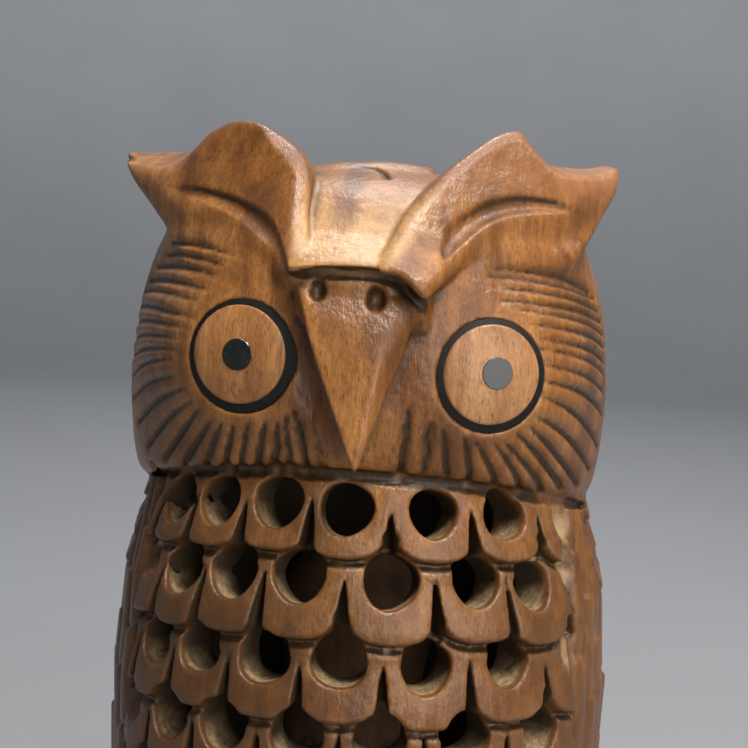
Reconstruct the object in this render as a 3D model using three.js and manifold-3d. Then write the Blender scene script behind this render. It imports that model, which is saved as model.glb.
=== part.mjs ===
// Hand-carved wooden owl figurine with an open latticework body, a second small owl
// standing inside the hollow, and inlaid eyes.
// Millimetres, +Z up. The owl faces -Y, so its own left side is +X.
// The origin is the centre of the flat underside that it stands on.
import * as THREE from "three";
import { mergeVertices } from "three/addons/utils/BufferGeometryUtils.js";
import Module from "manifold-3d";

const wasm = await Module();
wasm.setup();

// ---- Driving dimensions -------------------------------------------------------------

// The plinth, a low oval disc under the feet.
const PLINTH_RADIUS = 27.5;
const PLINTH_HEIGHT = 7;
const PLINTH_EDGE = 1;

// Outline of the body, as [half width, height], from the plinth to the neck.
const BODY_OUTLINE = [
  [21, 6], [26.5, 14], [31.5, 27], [35, 43], [36.6, 58], [36.6, 72], [35.2, 86], [32, 98], [29, 112],
];
const FRONT_DEPTH = 0.93; // depth in front of the axis, as a share of the half width
const BACK_DEPTH = 0.84; // the same behind the axis
const ROUND_SIDES = 28;
const OUTLINE_STEPS = 9;
const CURVE_SAMPLES = 80; // for reading the outline's width at any height

// The hollow inside the body.
const WALL = 6.4;
const FLOOR_HEIGHT = 14;
const CEILING_HEIGHT = 105;
const HOLLOW_END_SHARE = 0.45; // the hollow narrows to this share of its width at both ends
const HOLLOW_SQUARENESS = 6; // higher is straighter sided

// Latticework: drilled holes in rows that droop towards the wings, every second row
// offset by half a step.
const TOP_ROW_HEIGHT = 100.2;
const ROW_STEP = 8.9;
const ROWS = 8;
const ROW_DROOP = 3.6; // at DROOP_ANGLE from the middle
const DROOP_ANGLE = THREE.MathUtils.degToRad(50);
const COLUMN_STEP = THREE.MathUtils.degToRad(19.2);
const LATTICE_PHASE = THREE.MathUtils.degToRad(-1);
const FRONT_REACH = THREE.MathUtils.degToRad(60); // the front lattice reaches this far round
const BACK_REACH = THREE.MathUtils.degToRad(42); // and the back lattice this far
const HOLE_RADIUS = 3;
const HOLE_SIDES = 6;
const DRILL_CLEARANCE = 1; // how far each drill starts outside the wings' surface

// The head is a broad cap that overhangs the neck, with its lower edge rising at the front.
const HEAD_OUTLINE = [
  [28, 100.5], [32.2, 97.4], [34.4, 105], [35, 115], [33.6, 126], [29.5, 136], [20, 143], [9, 146],
];
const HEAD_FRONT_DEPTH = 0.9;
const HEAD_BACK_DEPTH = 0.86;
const HEAD_EDGE_LIFT = 7;
const HEAD_LIFT_TOP = 124; // the lift has faded out at this height

// Ear tufts, as [across, height] outlines from the brow's inner end over the peak to the tip.
const EAR_OUTLINE = [
  [7.5, 128.5], [5.6, 135], [8.4, 143], [13.5, 148.6], [19.5, 150.6], [24.6, 147.4],
  [28.6, 145.2], [36, 146], [34.6, 141], [29.8, 133.2], [22, 133.6], [13, 129.4],
];
const EAR_FRONT = -33; // the brow's front, in the middle of the face
const EAR_SWEEP = 0.0155; // how fast the front face runs back towards the sides
const EAR_LEAN = 0.55; // and how far it runs back for each millimetre up
const EAR_THICKNESS = 12;
const EAR_BASE_HEIGHT = 130;

// Beak: a long wedge pointing down, under a brow ledge.
const BROW_HEIGHT = 129;
const BROW_HALF_WIDTH = 8.5;
const BROW_DEPTH = 3; // from the brow's outer corners down to the beak's
const BROW_POINT = 5; // how far the wedge runs up into the forehead
const BEAK_HALF_WIDTH = 7;
const BEAK_TOP_FRONT = -33.4;
const BEAK_TIP_FRONT = -38.6;
const BEAK_TIP_HEIGHT = 106.5;
const BEAK_ROOT = -24; // how deep inside the head the wedge starts
const BEAK_SHIFT = -1.3; // the hand-cut beak stands a little to the owl's right at its top

// Inlaid eyes: a black ring, a wooden disc inside it, and a black pupil rod through the disc.
const EYES = [
  { side: "right", across: -15.7, height: 118.6 },
  { side: "left", across: 15.8, height: 117.7 },
];
const EYE_TURN = THREE.MathUtils.degToRad(15); // how far each eye looks outwards
const EYE_FACE = -29.6; // where the middle of each eye's front is
const EYE_MOUND_RADIUS = 11;
const EYE_MOUND_RISE = 1.6; // the mound's rim stands this far behind its face
const EYE_MOUND_FACE = 8.2; // radius of its flat face round the ring
const EYE_MOUND_LENGTH = 9;
const RING_RADIUS = 7.2;
const RING_WIDTH = 1.1;
const RING_DEPTH = 2.6;
const IRIS_DEPTH = 3.4;
const IRIS_DOME = 0.6;
const PUPIL_RADIUS = 2.1;
const PUPIL_DEPTH = 5;
const PUPIL_RISE = 0.1;
const GLUE_GAP = 0.15;
const EYE_SIDES = 28;
const PUPIL_SIDES = 14;

// Wings: long leaves in low relief down both sides, as [along y, height] outlines.
const WING_OUTLINE = [[-15, 97], [-19, 78], [-16, 50], [-4, 24], [9, 14], [15, 38], [17, 66], [10, 94]];
const WING_RELIEF = 1.8;
const WING_STEPS = 24;
const WING_REACH = 45; // longer than the body is wide, so that the leaf cuts right through

// Tail, as a [depth, height] outline seen from the side, and the toes.
const TAIL_OUTLINE = [[16, 6.5], [25.5, 6.5], [31.5, 44], [27, 58], [18, 50]];
const TAIL_WIDTH = 20;
const TOE_PLACES = [-15, -10.5, -6, 6, 10.5, 15];
const TOE_RADIUS = 2.5;
const TOE_LENGTH = 6.5;
const TOE_FRONT = -25.5;
const TOE_SIDES = 10;

// The small owl inside.
const INNER_FOOT_GAP = 0.3;
const INNER_OUTLINE = [
  [8.6, 0], [8.8, 3], [6.6, 5.5], [9.6, 14], [12, 27], [12.2, 40], [10.2, 50], [9, 54],
  [10.2, 61], [9.8, 69], [6, 75], [1, 76.5],
];
const INNER_FRONT = 0.95;
const INNER_BACK = 0.85;
const INNER_SIDES = 16;
const INNER_STEPS = 12;
const INNER_EAR_RADIUS = 3.6;
const INNER_EAR_HEIGHT = 8;
const INNER_EAR_PLACE = [5.2, 74.5];

const MERGE_DISTANCE = 1e-3;

// ---- Geometry helpers ---------------------------------------------------------------

// A closed three.js geometry as a solid that can be cut and joined.
function solidOf(geometry) {
  const bare = geometry.clone();
  bare.deleteAttribute("normal");
  bare.deleteAttribute("uv");
  const merged = mergeVertices(bare, MERGE_DISTANCE);
  return new wasm.Manifold(new wasm.Mesh({
    numProp: 3,
    vertProperties: merged.attributes.position.array,
    triVerts: new Uint32Array(merged.index.array),
  }));
}

function geometryOf(solid) {
  const mesh = solid.getMesh();
  const geometry = new THREE.BufferGeometry()
    .setAttribute("position", new THREE.BufferAttribute(mesh.vertProperties, 3))
    .setIndex(new THREE.BufferAttribute(mesh.triVerts, 1));
  geometry.computeVertexNormals();
  return geometry;
}

// Moves every point of a geometry with a function of its place.
function reshape(geometry, move) {
  const places = geometry.attributes.position;
  const point = new THREE.Vector3();
  for (let i = 0; i < places.count; i++) {
    point.fromBufferAttribute(places, i);
    move(point);
    places.setXYZ(i, point.x, point.y, point.z);
  }
  return geometry;
}

function smoothOutline(corners, steps) {
  return new THREE.SplineCurve(corners.map(([x, y]) => new THREE.Vector2(x, y))).getPoints(steps);
}

// A closed turned shape about +Z from an outline of [radius, height], with its own depths
// in front of the axis and behind it.
function turned(outline, sides, frontDepth, backDepth) {
  const first = new THREE.Vector2(0, outline[0].y);
  const last = new THREE.Vector2(0, outline[outline.length - 1].y);
  const lathe = new THREE.LatheGeometry([first, ...outline, last], sides).rotateX(Math.PI / 2);
  return reshape(lathe, (p) => {
    p.y *= p.y < 0 ? frontDepth : backDepth;
  });
}

// An outline of [across, height] extruded along y from `front`, over `thickness`.
function slab(outline, front, thickness) {
  const shape = new THREE.Shape(outline.map(([x, y]) => new THREE.Vector2(x, y)));
  return new THREE.ExtrudeGeometry(shape, { depth: thickness, bevelEnabled: false })
    .rotateX(Math.PI / 2)
    .translate(0, front + thickness, 0);
}

const bodyCurve = smoothOutline(BODY_OUTLINE, CURVE_SAMPLES);

// The body's half width at a height.
function bodyHalfWidth(height) {
  const above = bodyCurve.findIndex((p) => p.y >= height);
  const b = bodyCurve[Math.max(1, above)];
  const a = bodyCurve[Math.max(1, above) - 1];
  return THREE.MathUtils.lerp(a.x, b.x, (height - a.y) / (b.y - a.y));
}

// ---- The carved block ---------------------------------------------------------------

function plinth() {
  const outline = [
    [PLINTH_RADIUS - PLINTH_EDGE, 0], [PLINTH_RADIUS, PLINTH_EDGE],
    [PLINTH_RADIUS, PLINTH_HEIGHT - PLINTH_EDGE], [PLINTH_RADIUS - PLINTH_EDGE, PLINTH_HEIGHT],
  ].map(([x, y]) => new THREE.Vector2(x, y));
  return solidOf(turned(outline, ROUND_SIDES, FRONT_DEPTH, BACK_DEPTH));
}

function bodyEgg(grow) {
  const outline = smoothOutline(BODY_OUTLINE.map(([r, z]) => [r + grow, z]), OUTLINE_STEPS);
  return solidOf(turned(outline, ROUND_SIDES, FRONT_DEPTH, BACK_DEPTH));
}

function hollow() {
  const outline = [];
  for (let step = 0; step <= OUTLINE_STEPS; step++) {
    const share = step / OUTLINE_STEPS;
    const height = THREE.MathUtils.lerp(FLOOR_HEIGHT, CEILING_HEIGHT, share);
    const fullness = 1 - (1 - HOLLOW_END_SHARE) * Math.abs(2 * share - 1) ** HOLLOW_SQUARENESS;
    outline.push(new THREE.Vector2(fullness * (bodyHalfWidth(height) - WALL), height));
  }
  return solidOf(turned(outline, ROUND_SIDES, FRONT_DEPTH, BACK_DEPTH));
}

function latticeHoles() {
  const holes = [];
  for (let row = 0; row < ROWS; row++) {
    for (let column = 0; column * COLUMN_STEP < 2 * Math.PI - COLUMN_STEP / 2; column++) {
      const turn = LATTICE_PHASE + (column + (row % 2) / 2) * COLUMN_STEP;
      const fromFront = Math.abs(Math.atan2(Math.sin(turn), Math.cos(turn)));
      const fromBack = Math.PI - fromFront;
      if (fromFront > FRONT_REACH && fromBack > BACK_REACH) continue;
      const droop = ROW_DROOP * (Math.min(fromFront, fromBack) / DROOP_ANGLE) ** 2;
      const height = TOP_ROW_HEIGHT - row * ROW_STEP - droop;
      const outside = bodyHalfWidth(height) + WING_RELIEF + DRILL_CLEARANCE;
      const inside = bodyHalfWidth(height) * BACK_DEPTH - 2 * WALL;
      const drill = new THREE.CylinderGeometry(HOLE_RADIUS, HOLE_RADIUS, outside - inside, HOLE_SIDES)
        .translate(0, -(outside + inside) / 2, 0)
        .rotateZ(turn)
        .translate(0, 0, height);
      holes.push(solidOf(drill));
    }
  }
  return wasm.Manifold.union(holes);
}

function head() {
  const [underside, ...side] = HEAD_OUTLINE;
  const outline = [new THREE.Vector2(...underside), ...smoothOutline(side, OUTLINE_STEPS)];
  const cap = turned(outline, ROUND_SIDES, HEAD_FRONT_DEPTH, HEAD_BACK_DEPTH);
  return solidOf(reshape(cap, (p) => {
    const facing = Math.max(0, -p.y) / Math.max(1, Math.hypot(p.x, p.y));
    const fade = (HEAD_LIFT_TOP - p.z) / (HEAD_LIFT_TOP - side[0][1]);
    p.z += HEAD_EDGE_LIFT * facing * THREE.MathUtils.clamp(fade, 0, 1);
  }));
}

function ear(side) {
  const outline = EAR_OUTLINE.map(([x, z]) => [side * x, z]);
  return solidOf(reshape(slab(outline, 0, EAR_THICKNESS), (p) => {
    p.y += EAR_FRONT + EAR_SWEEP * p.x * p.x + EAR_LEAN * (p.z - EAR_BASE_HEIGHT);
  }));
}

function beak() {
  const outline = [
    [-BROW_HALF_WIDTH, BROW_HEIGHT], [-BEAK_HALF_WIDTH, BROW_HEIGHT - BROW_DEPTH],
    [0, BEAK_TIP_HEIGHT], [BEAK_HALF_WIDTH, BROW_HEIGHT - BROW_DEPTH], [BROW_HALF_WIDTH, BROW_HEIGHT],
    [0, BROW_HEIGHT + BROW_POINT],
  ];
  const backAtOne = slab(outline, 0, 1);
  return solidOf(reshape(backAtOne, (p) => {
    const down = THREE.MathUtils.clamp((BROW_HEIGHT - p.z) / (BROW_HEIGHT - BEAK_TIP_HEIGHT), 0, 1);
    const front = THREE.MathUtils.lerp(BEAK_TOP_FRONT, BEAK_TIP_FRONT, down);
    p.x += BEAK_SHIFT * (1 - down);
    p.y = p.y < 0.5 ? front : BEAK_ROOT;
  }));
}

function wing(side) {
  const outline = smoothOutline([...WING_OUTLINE, WING_OUTLINE[0]], WING_STEPS).slice(0, -1);
  const leaf = slab(outline.map((p) => [-side * p.x, p.y]), 0, WING_REACH).rotateZ((-side * Math.PI) / 2);
  return solidOf(leaf);
}

function tail() {
  return solidOf(slab(TAIL_OUTLINE, -TAIL_WIDTH / 2, TAIL_WIDTH).rotateZ(Math.PI / 2));
}

function toe(across) {
  const shape = new THREE.SphereGeometry(1, TOE_SIDES, TOE_SIDES)
    .scale(TOE_RADIUS, TOE_LENGTH, TOE_RADIUS)
    .translate(across, TOE_FRONT + TOE_LENGTH, PLINTH_HEIGHT + TOE_RADIUS / 2);
  return solidOf(shape);
}

// An eye's own frame: +Z looks out of the face, and its origin is the middle of the eye's front.
function eyePlace(eye) {
  const outward = Math.sign(eye.across) * EYE_TURN;
  return new THREE.Matrix4()
    .makeTranslation(eye.across, EYE_FACE, eye.height)
    .multiply(new THREE.Matrix4().makeRotationZ(outward))
    .multiply(new THREE.Matrix4().makeRotationX(Math.PI / 2));
}

// A closed turned shape about +Z whose outline of [radius, height] starts and ends on the
// axis, or runs once round a ring.
function turnedAboutZ(corners, sides) {
  const outline = corners.map(([r, z]) => new THREE.Vector2(r, z));
  return new THREE.LatheGeometry(outline, sides).rotateX(Math.PI / 2);
}

function eyeMound(eye) {
  const mound = turnedAboutZ([
    [0, -EYE_MOUND_LENGTH], [EYE_MOUND_RADIUS, -EYE_MOUND_LENGTH],
    [EYE_MOUND_RADIUS, -EYE_MOUND_RISE], [EYE_MOUND_FACE, 0], [0, 0],
  ], EYE_SIDES);
  return solidOf(mound.applyMatrix4(eyePlace(eye)));
}

function eyePocket(eye) {
  const irisRadius = RING_RADIUS - RING_WIDTH;
  const pocket = turnedAboutZ([
    [0, -PUPIL_DEPTH - GLUE_GAP],
    [PUPIL_RADIUS + GLUE_GAP, -PUPIL_DEPTH - GLUE_GAP],
    [PUPIL_RADIUS + GLUE_GAP, -IRIS_DEPTH - GLUE_GAP],
    [irisRadius, -IRIS_DEPTH - GLUE_GAP],
    [irisRadius, -RING_DEPTH - GLUE_GAP],
    [RING_RADIUS + GLUE_GAP, -RING_DEPTH - GLUE_GAP],
    [RING_RADIUS + GLUE_GAP, EYE_MOUND_RISE],
    [0, EYE_MOUND_RISE],
  ], EYE_SIDES);
  return solidOf(pocket.applyMatrix4(eyePlace(eye)));
}

function carvedBlock() {
  const wings = [-1, 1].map((side) => wing(side).intersect(bodyEgg(WING_RELIEF)));
  const shell = wasm.Manifold.union([bodyEgg(0), ...wings])
    .subtract(hollow())
    .subtract(latticeHoles());
  const joined = wasm.Manifold.union([
    shell, plinth(), tail(), ...TOE_PLACES.map(toe), head(), ear(-1), ear(1), beak(),
    ...EYES.map(eyeMound),
  ]);
  return joined.subtract(wasm.Manifold.union(EYES.map(eyePocket)));
}

// ---- Inlaid eye pieces --------------------------------------------------------------

function ringShape() {
  const inner = RING_RADIUS - RING_WIDTH;
  return turnedAboutZ([
    [inner, -RING_DEPTH], [RING_RADIUS, -RING_DEPTH], [RING_RADIUS, 0], [inner, 0], [inner, -RING_DEPTH],
  ], EYE_SIDES);
}

function irisShape() {
  const edge = RING_RADIUS - RING_WIDTH - GLUE_GAP;
  const bore = PUPIL_RADIUS + GLUE_GAP;
  const middle = (edge + bore) / 2;
  return turnedAboutZ([
    [bore, -IRIS_DEPTH], [edge, -IRIS_DEPTH], [edge, 0], [middle, IRIS_DOME * 0.75],
    [bore, IRIS_DOME], [bore, -IRIS_DEPTH],
  ], EYE_SIDES);
}

function pupilShape() {
  return turnedAboutZ([
    [0, -PUPIL_DEPTH], [PUPIL_RADIUS, -PUPIL_DEPTH], [PUPIL_RADIUS, IRIS_DOME],
    [PUPIL_RADIUS / 2, IRIS_DOME + PUPIL_RISE], [0, IRIS_DOME + PUPIL_RISE],
  ], PUPIL_SIDES);
}

// ---- The small owl inside -----------------------------------------------------------

function innerOwl() {
  const body = turned(smoothOutline(INNER_OUTLINE, INNER_STEPS), INNER_SIDES, INNER_FRONT, INNER_BACK);
  const tufts = [-1, 1].map((side) => {
    const [across, height] = INNER_EAR_PLACE;
    const tuft = new THREE.ConeGeometry(INNER_EAR_RADIUS, INNER_EAR_HEIGHT, INNER_SIDES)
      .rotateX(Math.PI / 2)
      .translate(side * across, 0, height);
    return solidOf(tuft);
  });
  return wasm.Manifold.union([solidOf(body), ...tufts]);
}

// ---- Assembly -----------------------------------------------------------------------

const varnishedWood = new THREE.MeshStandardMaterial({ color: 0x9a6a3e, roughness: 0.42, metalness: 0 });
const rawWood = new THREE.MeshStandardMaterial({ color: 0xa57b4c, roughness: 0.6, metalness: 0 });
const irisWood = new THREE.MeshStandardMaterial({ color: 0xa8703e, roughness: 0.35, metalness: 0 });
const blackInlay = new THREE.MeshStandardMaterial({ color: 0x17140f, roughness: 0.3, metalness: 0 });
const blackPupil = new THREE.MeshStandardMaterial({ color: 0x202422, roughness: 0.15, metalness: 0 });

function piece(name, geometry, material) {
  const mesh = new THREE.Mesh(geometry, material);
  mesh.name = name;
  return mesh;
}

const owl = new THREE.Group();
owl.add(piece("carved_owl_body", geometryOf(carvedBlock()), varnishedWood));

const inside = piece("inner_owlet", geometryOf(innerOwl()), rawWood);
inside.position.z = FLOOR_HEIGHT + INNER_FOOT_GAP;
owl.add(inside);

for (const eye of EYES) {
  const socket = new THREE.Group();
  socket.applyMatrix4(eyePlace(eye));
  socket.add(piece(`${eye.side}_eye_ring`, ringShape(), blackInlay));
  socket.add(piece(`${eye.side}_iris_disc`, irisShape(), irisWood));
  socket.add(piece(`${eye.side}_pupil`, pupilShape(), blackPupil));
  owl.add(socket);
}

export default owl;
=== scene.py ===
"""Looks of a hand-carved wooden owl with an open latticework body, inlaid eyes and a small owl inside.

The carved block is made here as a distance field in millimetres, cut the way a carver cuts it:
a blank, then holes, feathers and grooves. The field is meshed and stands for the plain CAD block.
The owl faces -Y and its own left side is +X. Bearings are degrees round the axis from the front,
positive towards +X, and heights are millimetres above the underside.
"""
import itertools
import math

import bmesh
import bpy
import numpy as np
import openvdb
from mathutils import Matrix, Vector


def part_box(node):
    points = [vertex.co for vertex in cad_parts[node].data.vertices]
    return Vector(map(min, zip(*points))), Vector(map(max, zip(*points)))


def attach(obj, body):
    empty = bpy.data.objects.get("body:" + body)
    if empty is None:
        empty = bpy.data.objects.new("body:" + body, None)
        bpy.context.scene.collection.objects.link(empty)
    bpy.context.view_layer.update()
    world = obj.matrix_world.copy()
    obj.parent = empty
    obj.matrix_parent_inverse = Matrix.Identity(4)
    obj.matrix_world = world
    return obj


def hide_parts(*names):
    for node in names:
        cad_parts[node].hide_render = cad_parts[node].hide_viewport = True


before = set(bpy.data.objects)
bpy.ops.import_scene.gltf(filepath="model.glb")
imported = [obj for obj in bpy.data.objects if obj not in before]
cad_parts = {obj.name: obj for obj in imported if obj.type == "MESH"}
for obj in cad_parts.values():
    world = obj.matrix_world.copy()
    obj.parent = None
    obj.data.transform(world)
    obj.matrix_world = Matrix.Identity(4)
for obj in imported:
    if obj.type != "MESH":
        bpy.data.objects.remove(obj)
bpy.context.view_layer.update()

MM = 0.001
STEP = 0.36  # grid spacing of the big carving
FACES = 190000  # triangles kept on the big carving
OWLET_STEP = 0.6
OWLET_FACES = 30000
FAR = 9.0  # the distance that an empty grid holds

# ---- Driving dimensions -------------------------------------------------------------

GRID_LOW = (-41, -42.5, -2)
GRID_HIGH = (41, 36, 152.5)

BODY = [(21, 6), (26.5, 14), (31.5, 27), (35, 43), (36.6, 58), (36.6, 72), (35.2, 86), (32, 98), (29, 112)]
BODY_FRONT = 0.93
BODY_BACK = 0.84
NARROW_SIDE = 0.96  # the body is a little narrower towards -X
PLINTH_RADIUS = 27.5
PLINTH_HEIGHT = 7.0
PLINTH_EDGE = 1.4  # chamfer round its top
WALL = 6.2  # thickness of the hollow body
HOLLOW_FLOOR = 14.0
HOLLOW_TOP = 109.0

HEAD_UNDER = 97.4
HEAD = [(0, 101.5), (27, 100.8), (32.0, HEAD_UNDER), (33.6, 99.4), (34.6, 105), (35.0, 115), (33.6, 126),
        (30.2, 135), (23, 141), (12, 144.2), (0, 144.8)]
HEAD_FRONT = 0.9
HEAD_BACK = 0.86
HEAD_LIFT = 7.3  # how much higher the head ends in front
HEAD_LIFT_TOP = 126.0
CROWN = 145.8
NECK_LINE = 96.8  # the knife line under the head, at the sides

HOLE_RADIUS = 3.38
BACK_HOLE_RADIUS = 2.5
BACK_TOP = 78.0  # the back's rows above this are feathers without holes
ROWS = 9
ROW_PITCH = 9.2
TOP_ROW = 100.4
SCALE_STEP = 1.6
SCALE_DROP = 7.6  # from a hole's middle down to its feather's lower edge
COLUMN_PITCH = 18.6
# How far the carver's holes wander round the body, in degrees, by row and column.
WANDER = {0: {5: -1.0, 6: 1.4}, 1: {3: -1.6, 4: -2.0, 5: 1.7, 6: 2.0, 7: -2.2}}

EYE_OUT = {-1: 15.7, 1: 16.0}
EYE_HEIGHT = {-1: 118.6, 1: 117.8}
EYE_FACE = -29.6
EYE_TURN = math.radians(15)
EYE_DOME = 20.0  # radius of the wood's bulge under an eye
RING_OUTER = 7.2

# Ear outlines as (across, height): where the front face ends, and where the rear one does.
EAR_FRONTS = {
    -1: [(-38.0, 145.7), (-36.4, 144.1), (-32.8, 142.9), (-29.4, 142.5), (-27.0, 143.1), (-24.8, 145.4),
         (-22.6, 147.7), (-19.6, 149.0), (-16.2, 148.8), (-13.6, 147.6), (-11.3, 146.0), (-9.3, 144.0),
         (-8.4, 141.6), (-8.2, 137), (-7.9, 133), (-8.6, 128.6), (-10.4, 126.6), (-13.0, 128.0),
         (-16.4, 130.2), (-20.7, 131.2), (-24.9, 131.6), (-28.6, 134.9), (-31.5, 137.8), (-35.0, 141.6)],
    1: [(1.3, 130.2), (2.6, 134.2), (4.5, 137.9), (7.9, 142.0), (11.4, 145.4), (15.4, 148.5), (18.6, 149.6),
        (20.4, 147.7), (22.3, 145.8), (24.6, 144.5), (28.0, 144.5), (31.6, 145.3), (33.9, 146.5),
        (33.6, 143.2), (31.6, 139.2), (28.0, 133.9), (25.2, 132.8), (20.8, 133.4), (16.3, 133.2),
        (12.7, 132.3), (9.2, 129.6), (6.9, 126.9), (4.8, 128.7), (3.2, 129.8)],
}
EAR_BACKS = {
    -1: [(-38.3, 146.4), (-33.8, 146.4), (-29, 146.3), (-26.2, 146.3), (-24.2, 147.0), (-22.2, 148.5),
         (-19.4, 149.6), (-16.0, 149.3), (-13.0, 147.9), (-10.7, 146.2), (-8.9, 144.2), (-8.1, 141.6),
         (-8.0, 137), (-8.0, 128), (-20, 128), (-26, 133), (-31.8, 138.8), (-35.6, 142.6)],
    1: [(1.2, 129), (2.5, 135), (4.5, 138.6), (8, 143), (11.6, 146.2), (15.6, 149.2), (18.8, 150.0),
        (20.8, 148.2), (22.8, 146.7), (26, 146.5), (30, 146.8), (34.0, 147.6), (33.6, 144.0), (31, 139.5),
        (27, 133), (18, 128)],
}
EAR_UNDERS = {-1: [(-32, 137.6), (-25, 133.2), (-20, 133.2), (-15, 131.6), (-10, 127.5)],
              1: [(8, 127.6), (12, 131), (17, 134), (23, 134.4), (31, 139.5)]}
EAR_GROOVES = {
    -1: [(-27.6, 139.6), (-24.4, 139.6), (-21.6, 139.1), (-18.7, 138.3), (-16.5, 137.3), (-14.6, 136.2),
         (-13.1, 134.7), (-12.1, 132.9), (-11.2, 131.4), (-10.4, 129.6)],
    1: [(9.1, 132.4), (9.8, 134.3), (10.8, 136.0), (12.5, 137.6), (14.6, 138.9), (17.4, 139.9), (19.7, 140.2),
        (23.2, 140.2), (25.6, 139.8), (27.9, 138.9)],
}
EAR_THICK = 9.0
EAR_BEVEL = {-1: 2.0, 1: 1.0}

# ---- Curves and distances -----------------------------------------------------------


def smooth_line(points, count, closed=False):
    """Evenly spread points of a smooth curve through the given ones."""
    p = np.array(points, float)
    if closed:
        p = np.vstack([p[-1], p, p[0], p[1]])
    else:
        p = np.vstack([2 * p[0] - p[1], p, 2 * p[-1] - p[-2]])
    spans = len(p) - 3
    places = np.linspace(0, spans, count, endpoint=not closed)
    span = np.minimum(places.astype(int), spans - 1)
    t = (places - span)[:, None]
    a, b, c, d = p[span], p[span + 1], p[span + 2], p[span + 3]
    return 0.5 * (2 * b + (c - a) * t + (2 * a - 5 * b + 4 * c - d) * t**2 + (3 * b - a - 3 * c + d) * t**3)


def smooth_min(a, b, blend):
    """The smaller of two distances, rounded over where they differ by less than `blend`."""
    h = np.maximum(blend - np.abs(a - b), 0) / np.maximum(blend, 1e-6)
    return np.minimum(a, b) - h * h * blend / 4


def smooth_max(a, b, blend):
    return -smooth_min(-a, -b, blend)


def smooth_step(value):
    t = np.clip(value, 0, 1)
    return t * t * (3 - 2 * t)


def mix_by_share(a, b, share):
    return a * (1 - share) + b * share


def outline_distance(outline, px, py):
    """Signed distance in a plane to a closed outline, negative inside."""
    best = np.full(np.broadcast(px, py).shape, np.inf, np.float32)
    inside = np.zeros(best.shape, bool)
    for (ax, ay), (bx, by) in zip(outline, np.roll(outline, -1, axis=0)):
        ex, ey = bx - ax, by - ay
        wx, wy = px - ax, py - ay
        t = np.clip((wx * ex + wy * ey) / (ex * ex + ey * ey + 1e-12), 0, 1)
        best = np.minimum(best, (wx - ex * t) ** 2 + (wy - ey * t) ** 2)
        if ay != by:
            inside ^= ((ay > py) != (by > py)) & (px < ex * (py - ay) / (by - ay) + ax)
    return np.where(inside, -1, 1) * np.sqrt(best)


class OutlineTable:
    """Distance to a closed outline in a plane, looked up on a table of small cells."""

    CELL = 0.25

    def __init__(self, outline, low, high):
        self.low = low
        across, up = (np.arange(low[i], high[i], self.CELL) for i in (0, 1))
        self.table = outline_distance(outline, across[:, None], up[None, :]).astype(np.float32)

    def __call__(self, across, up):
        i, j = np.broadcast_arrays(*(np.clip((place - low) / self.CELL, 0, size - 1.001)
                                     for place, low, size in zip((across, up), self.low, self.table.shape)))
        ii, jj = i.astype(np.int32), j.astype(np.int32)
        near = mix_by_share(self.table[ii, jj], self.table[ii, jj + 1], j - jj)
        far = mix_by_share(self.table[ii + 1, jj], self.table[ii + 1, jj + 1], j - jj)
        return mix_by_share(near, far, i - ii)


def turned_profile(outline):
    """The outline of a turned solid, given as (radius, height), read at any radius and height."""
    heights = [h for _, h in outline]
    mirrored = [(-radius, h) for radius, h in reversed(outline)]
    return OutlineTable(np.array(outline + mirrored, float), (0, min(heights) - 12), (56, max(heights) + 14))


def flat_outline(points):
    """A smooth closed outline, given as (across, height)."""
    outline = smooth_line(points, 4 * len(points), closed=True)
    return OutlineTable(outline, outline.min(0) - 6, outline.max(0) + 6)


def oval_radius(x, y, front, back):
    """The radius before an oval was flattened by `front` or `back`."""
    return np.sqrt(x * x + (y / np.where(y < 0, front, back)) ** 2)


def bearing_of(x, y):
    return np.degrees(np.arctan2(x, -y))


def capsule(x, y, z, a, b, ra, rb):
    """Distance to a round bar from a to b whose radius runs from ra to rb."""
    e = b - a
    t = np.clip(((x - a[0]) * e[0] + (y - a[1]) * e[1] + (z - a[2]) * e[2]) / (e @ e + 1e-9), 0, 1)
    d = np.sqrt((x - a[0] - e[0] * t) ** 2 + (y - a[1] - e[1] * t) ** 2 + (z - a[2] - e[2] * t) ** 2)
    return d - (ra + (rb - ra) * t)


def ellipsoid(x, y, z, centre, radii):
    """Near enough to a distance close to the surface."""
    q = np.sqrt(sum(((p - c) / r) ** 2 for p, c, r in zip((x, y, z), centre, radii)))
    return (q - 1) * min(radii)


def layer(low, high):
    """Corners of a window over the whole grid between two heights."""
    return (-60, -60, low), (60, 60, high)


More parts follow.
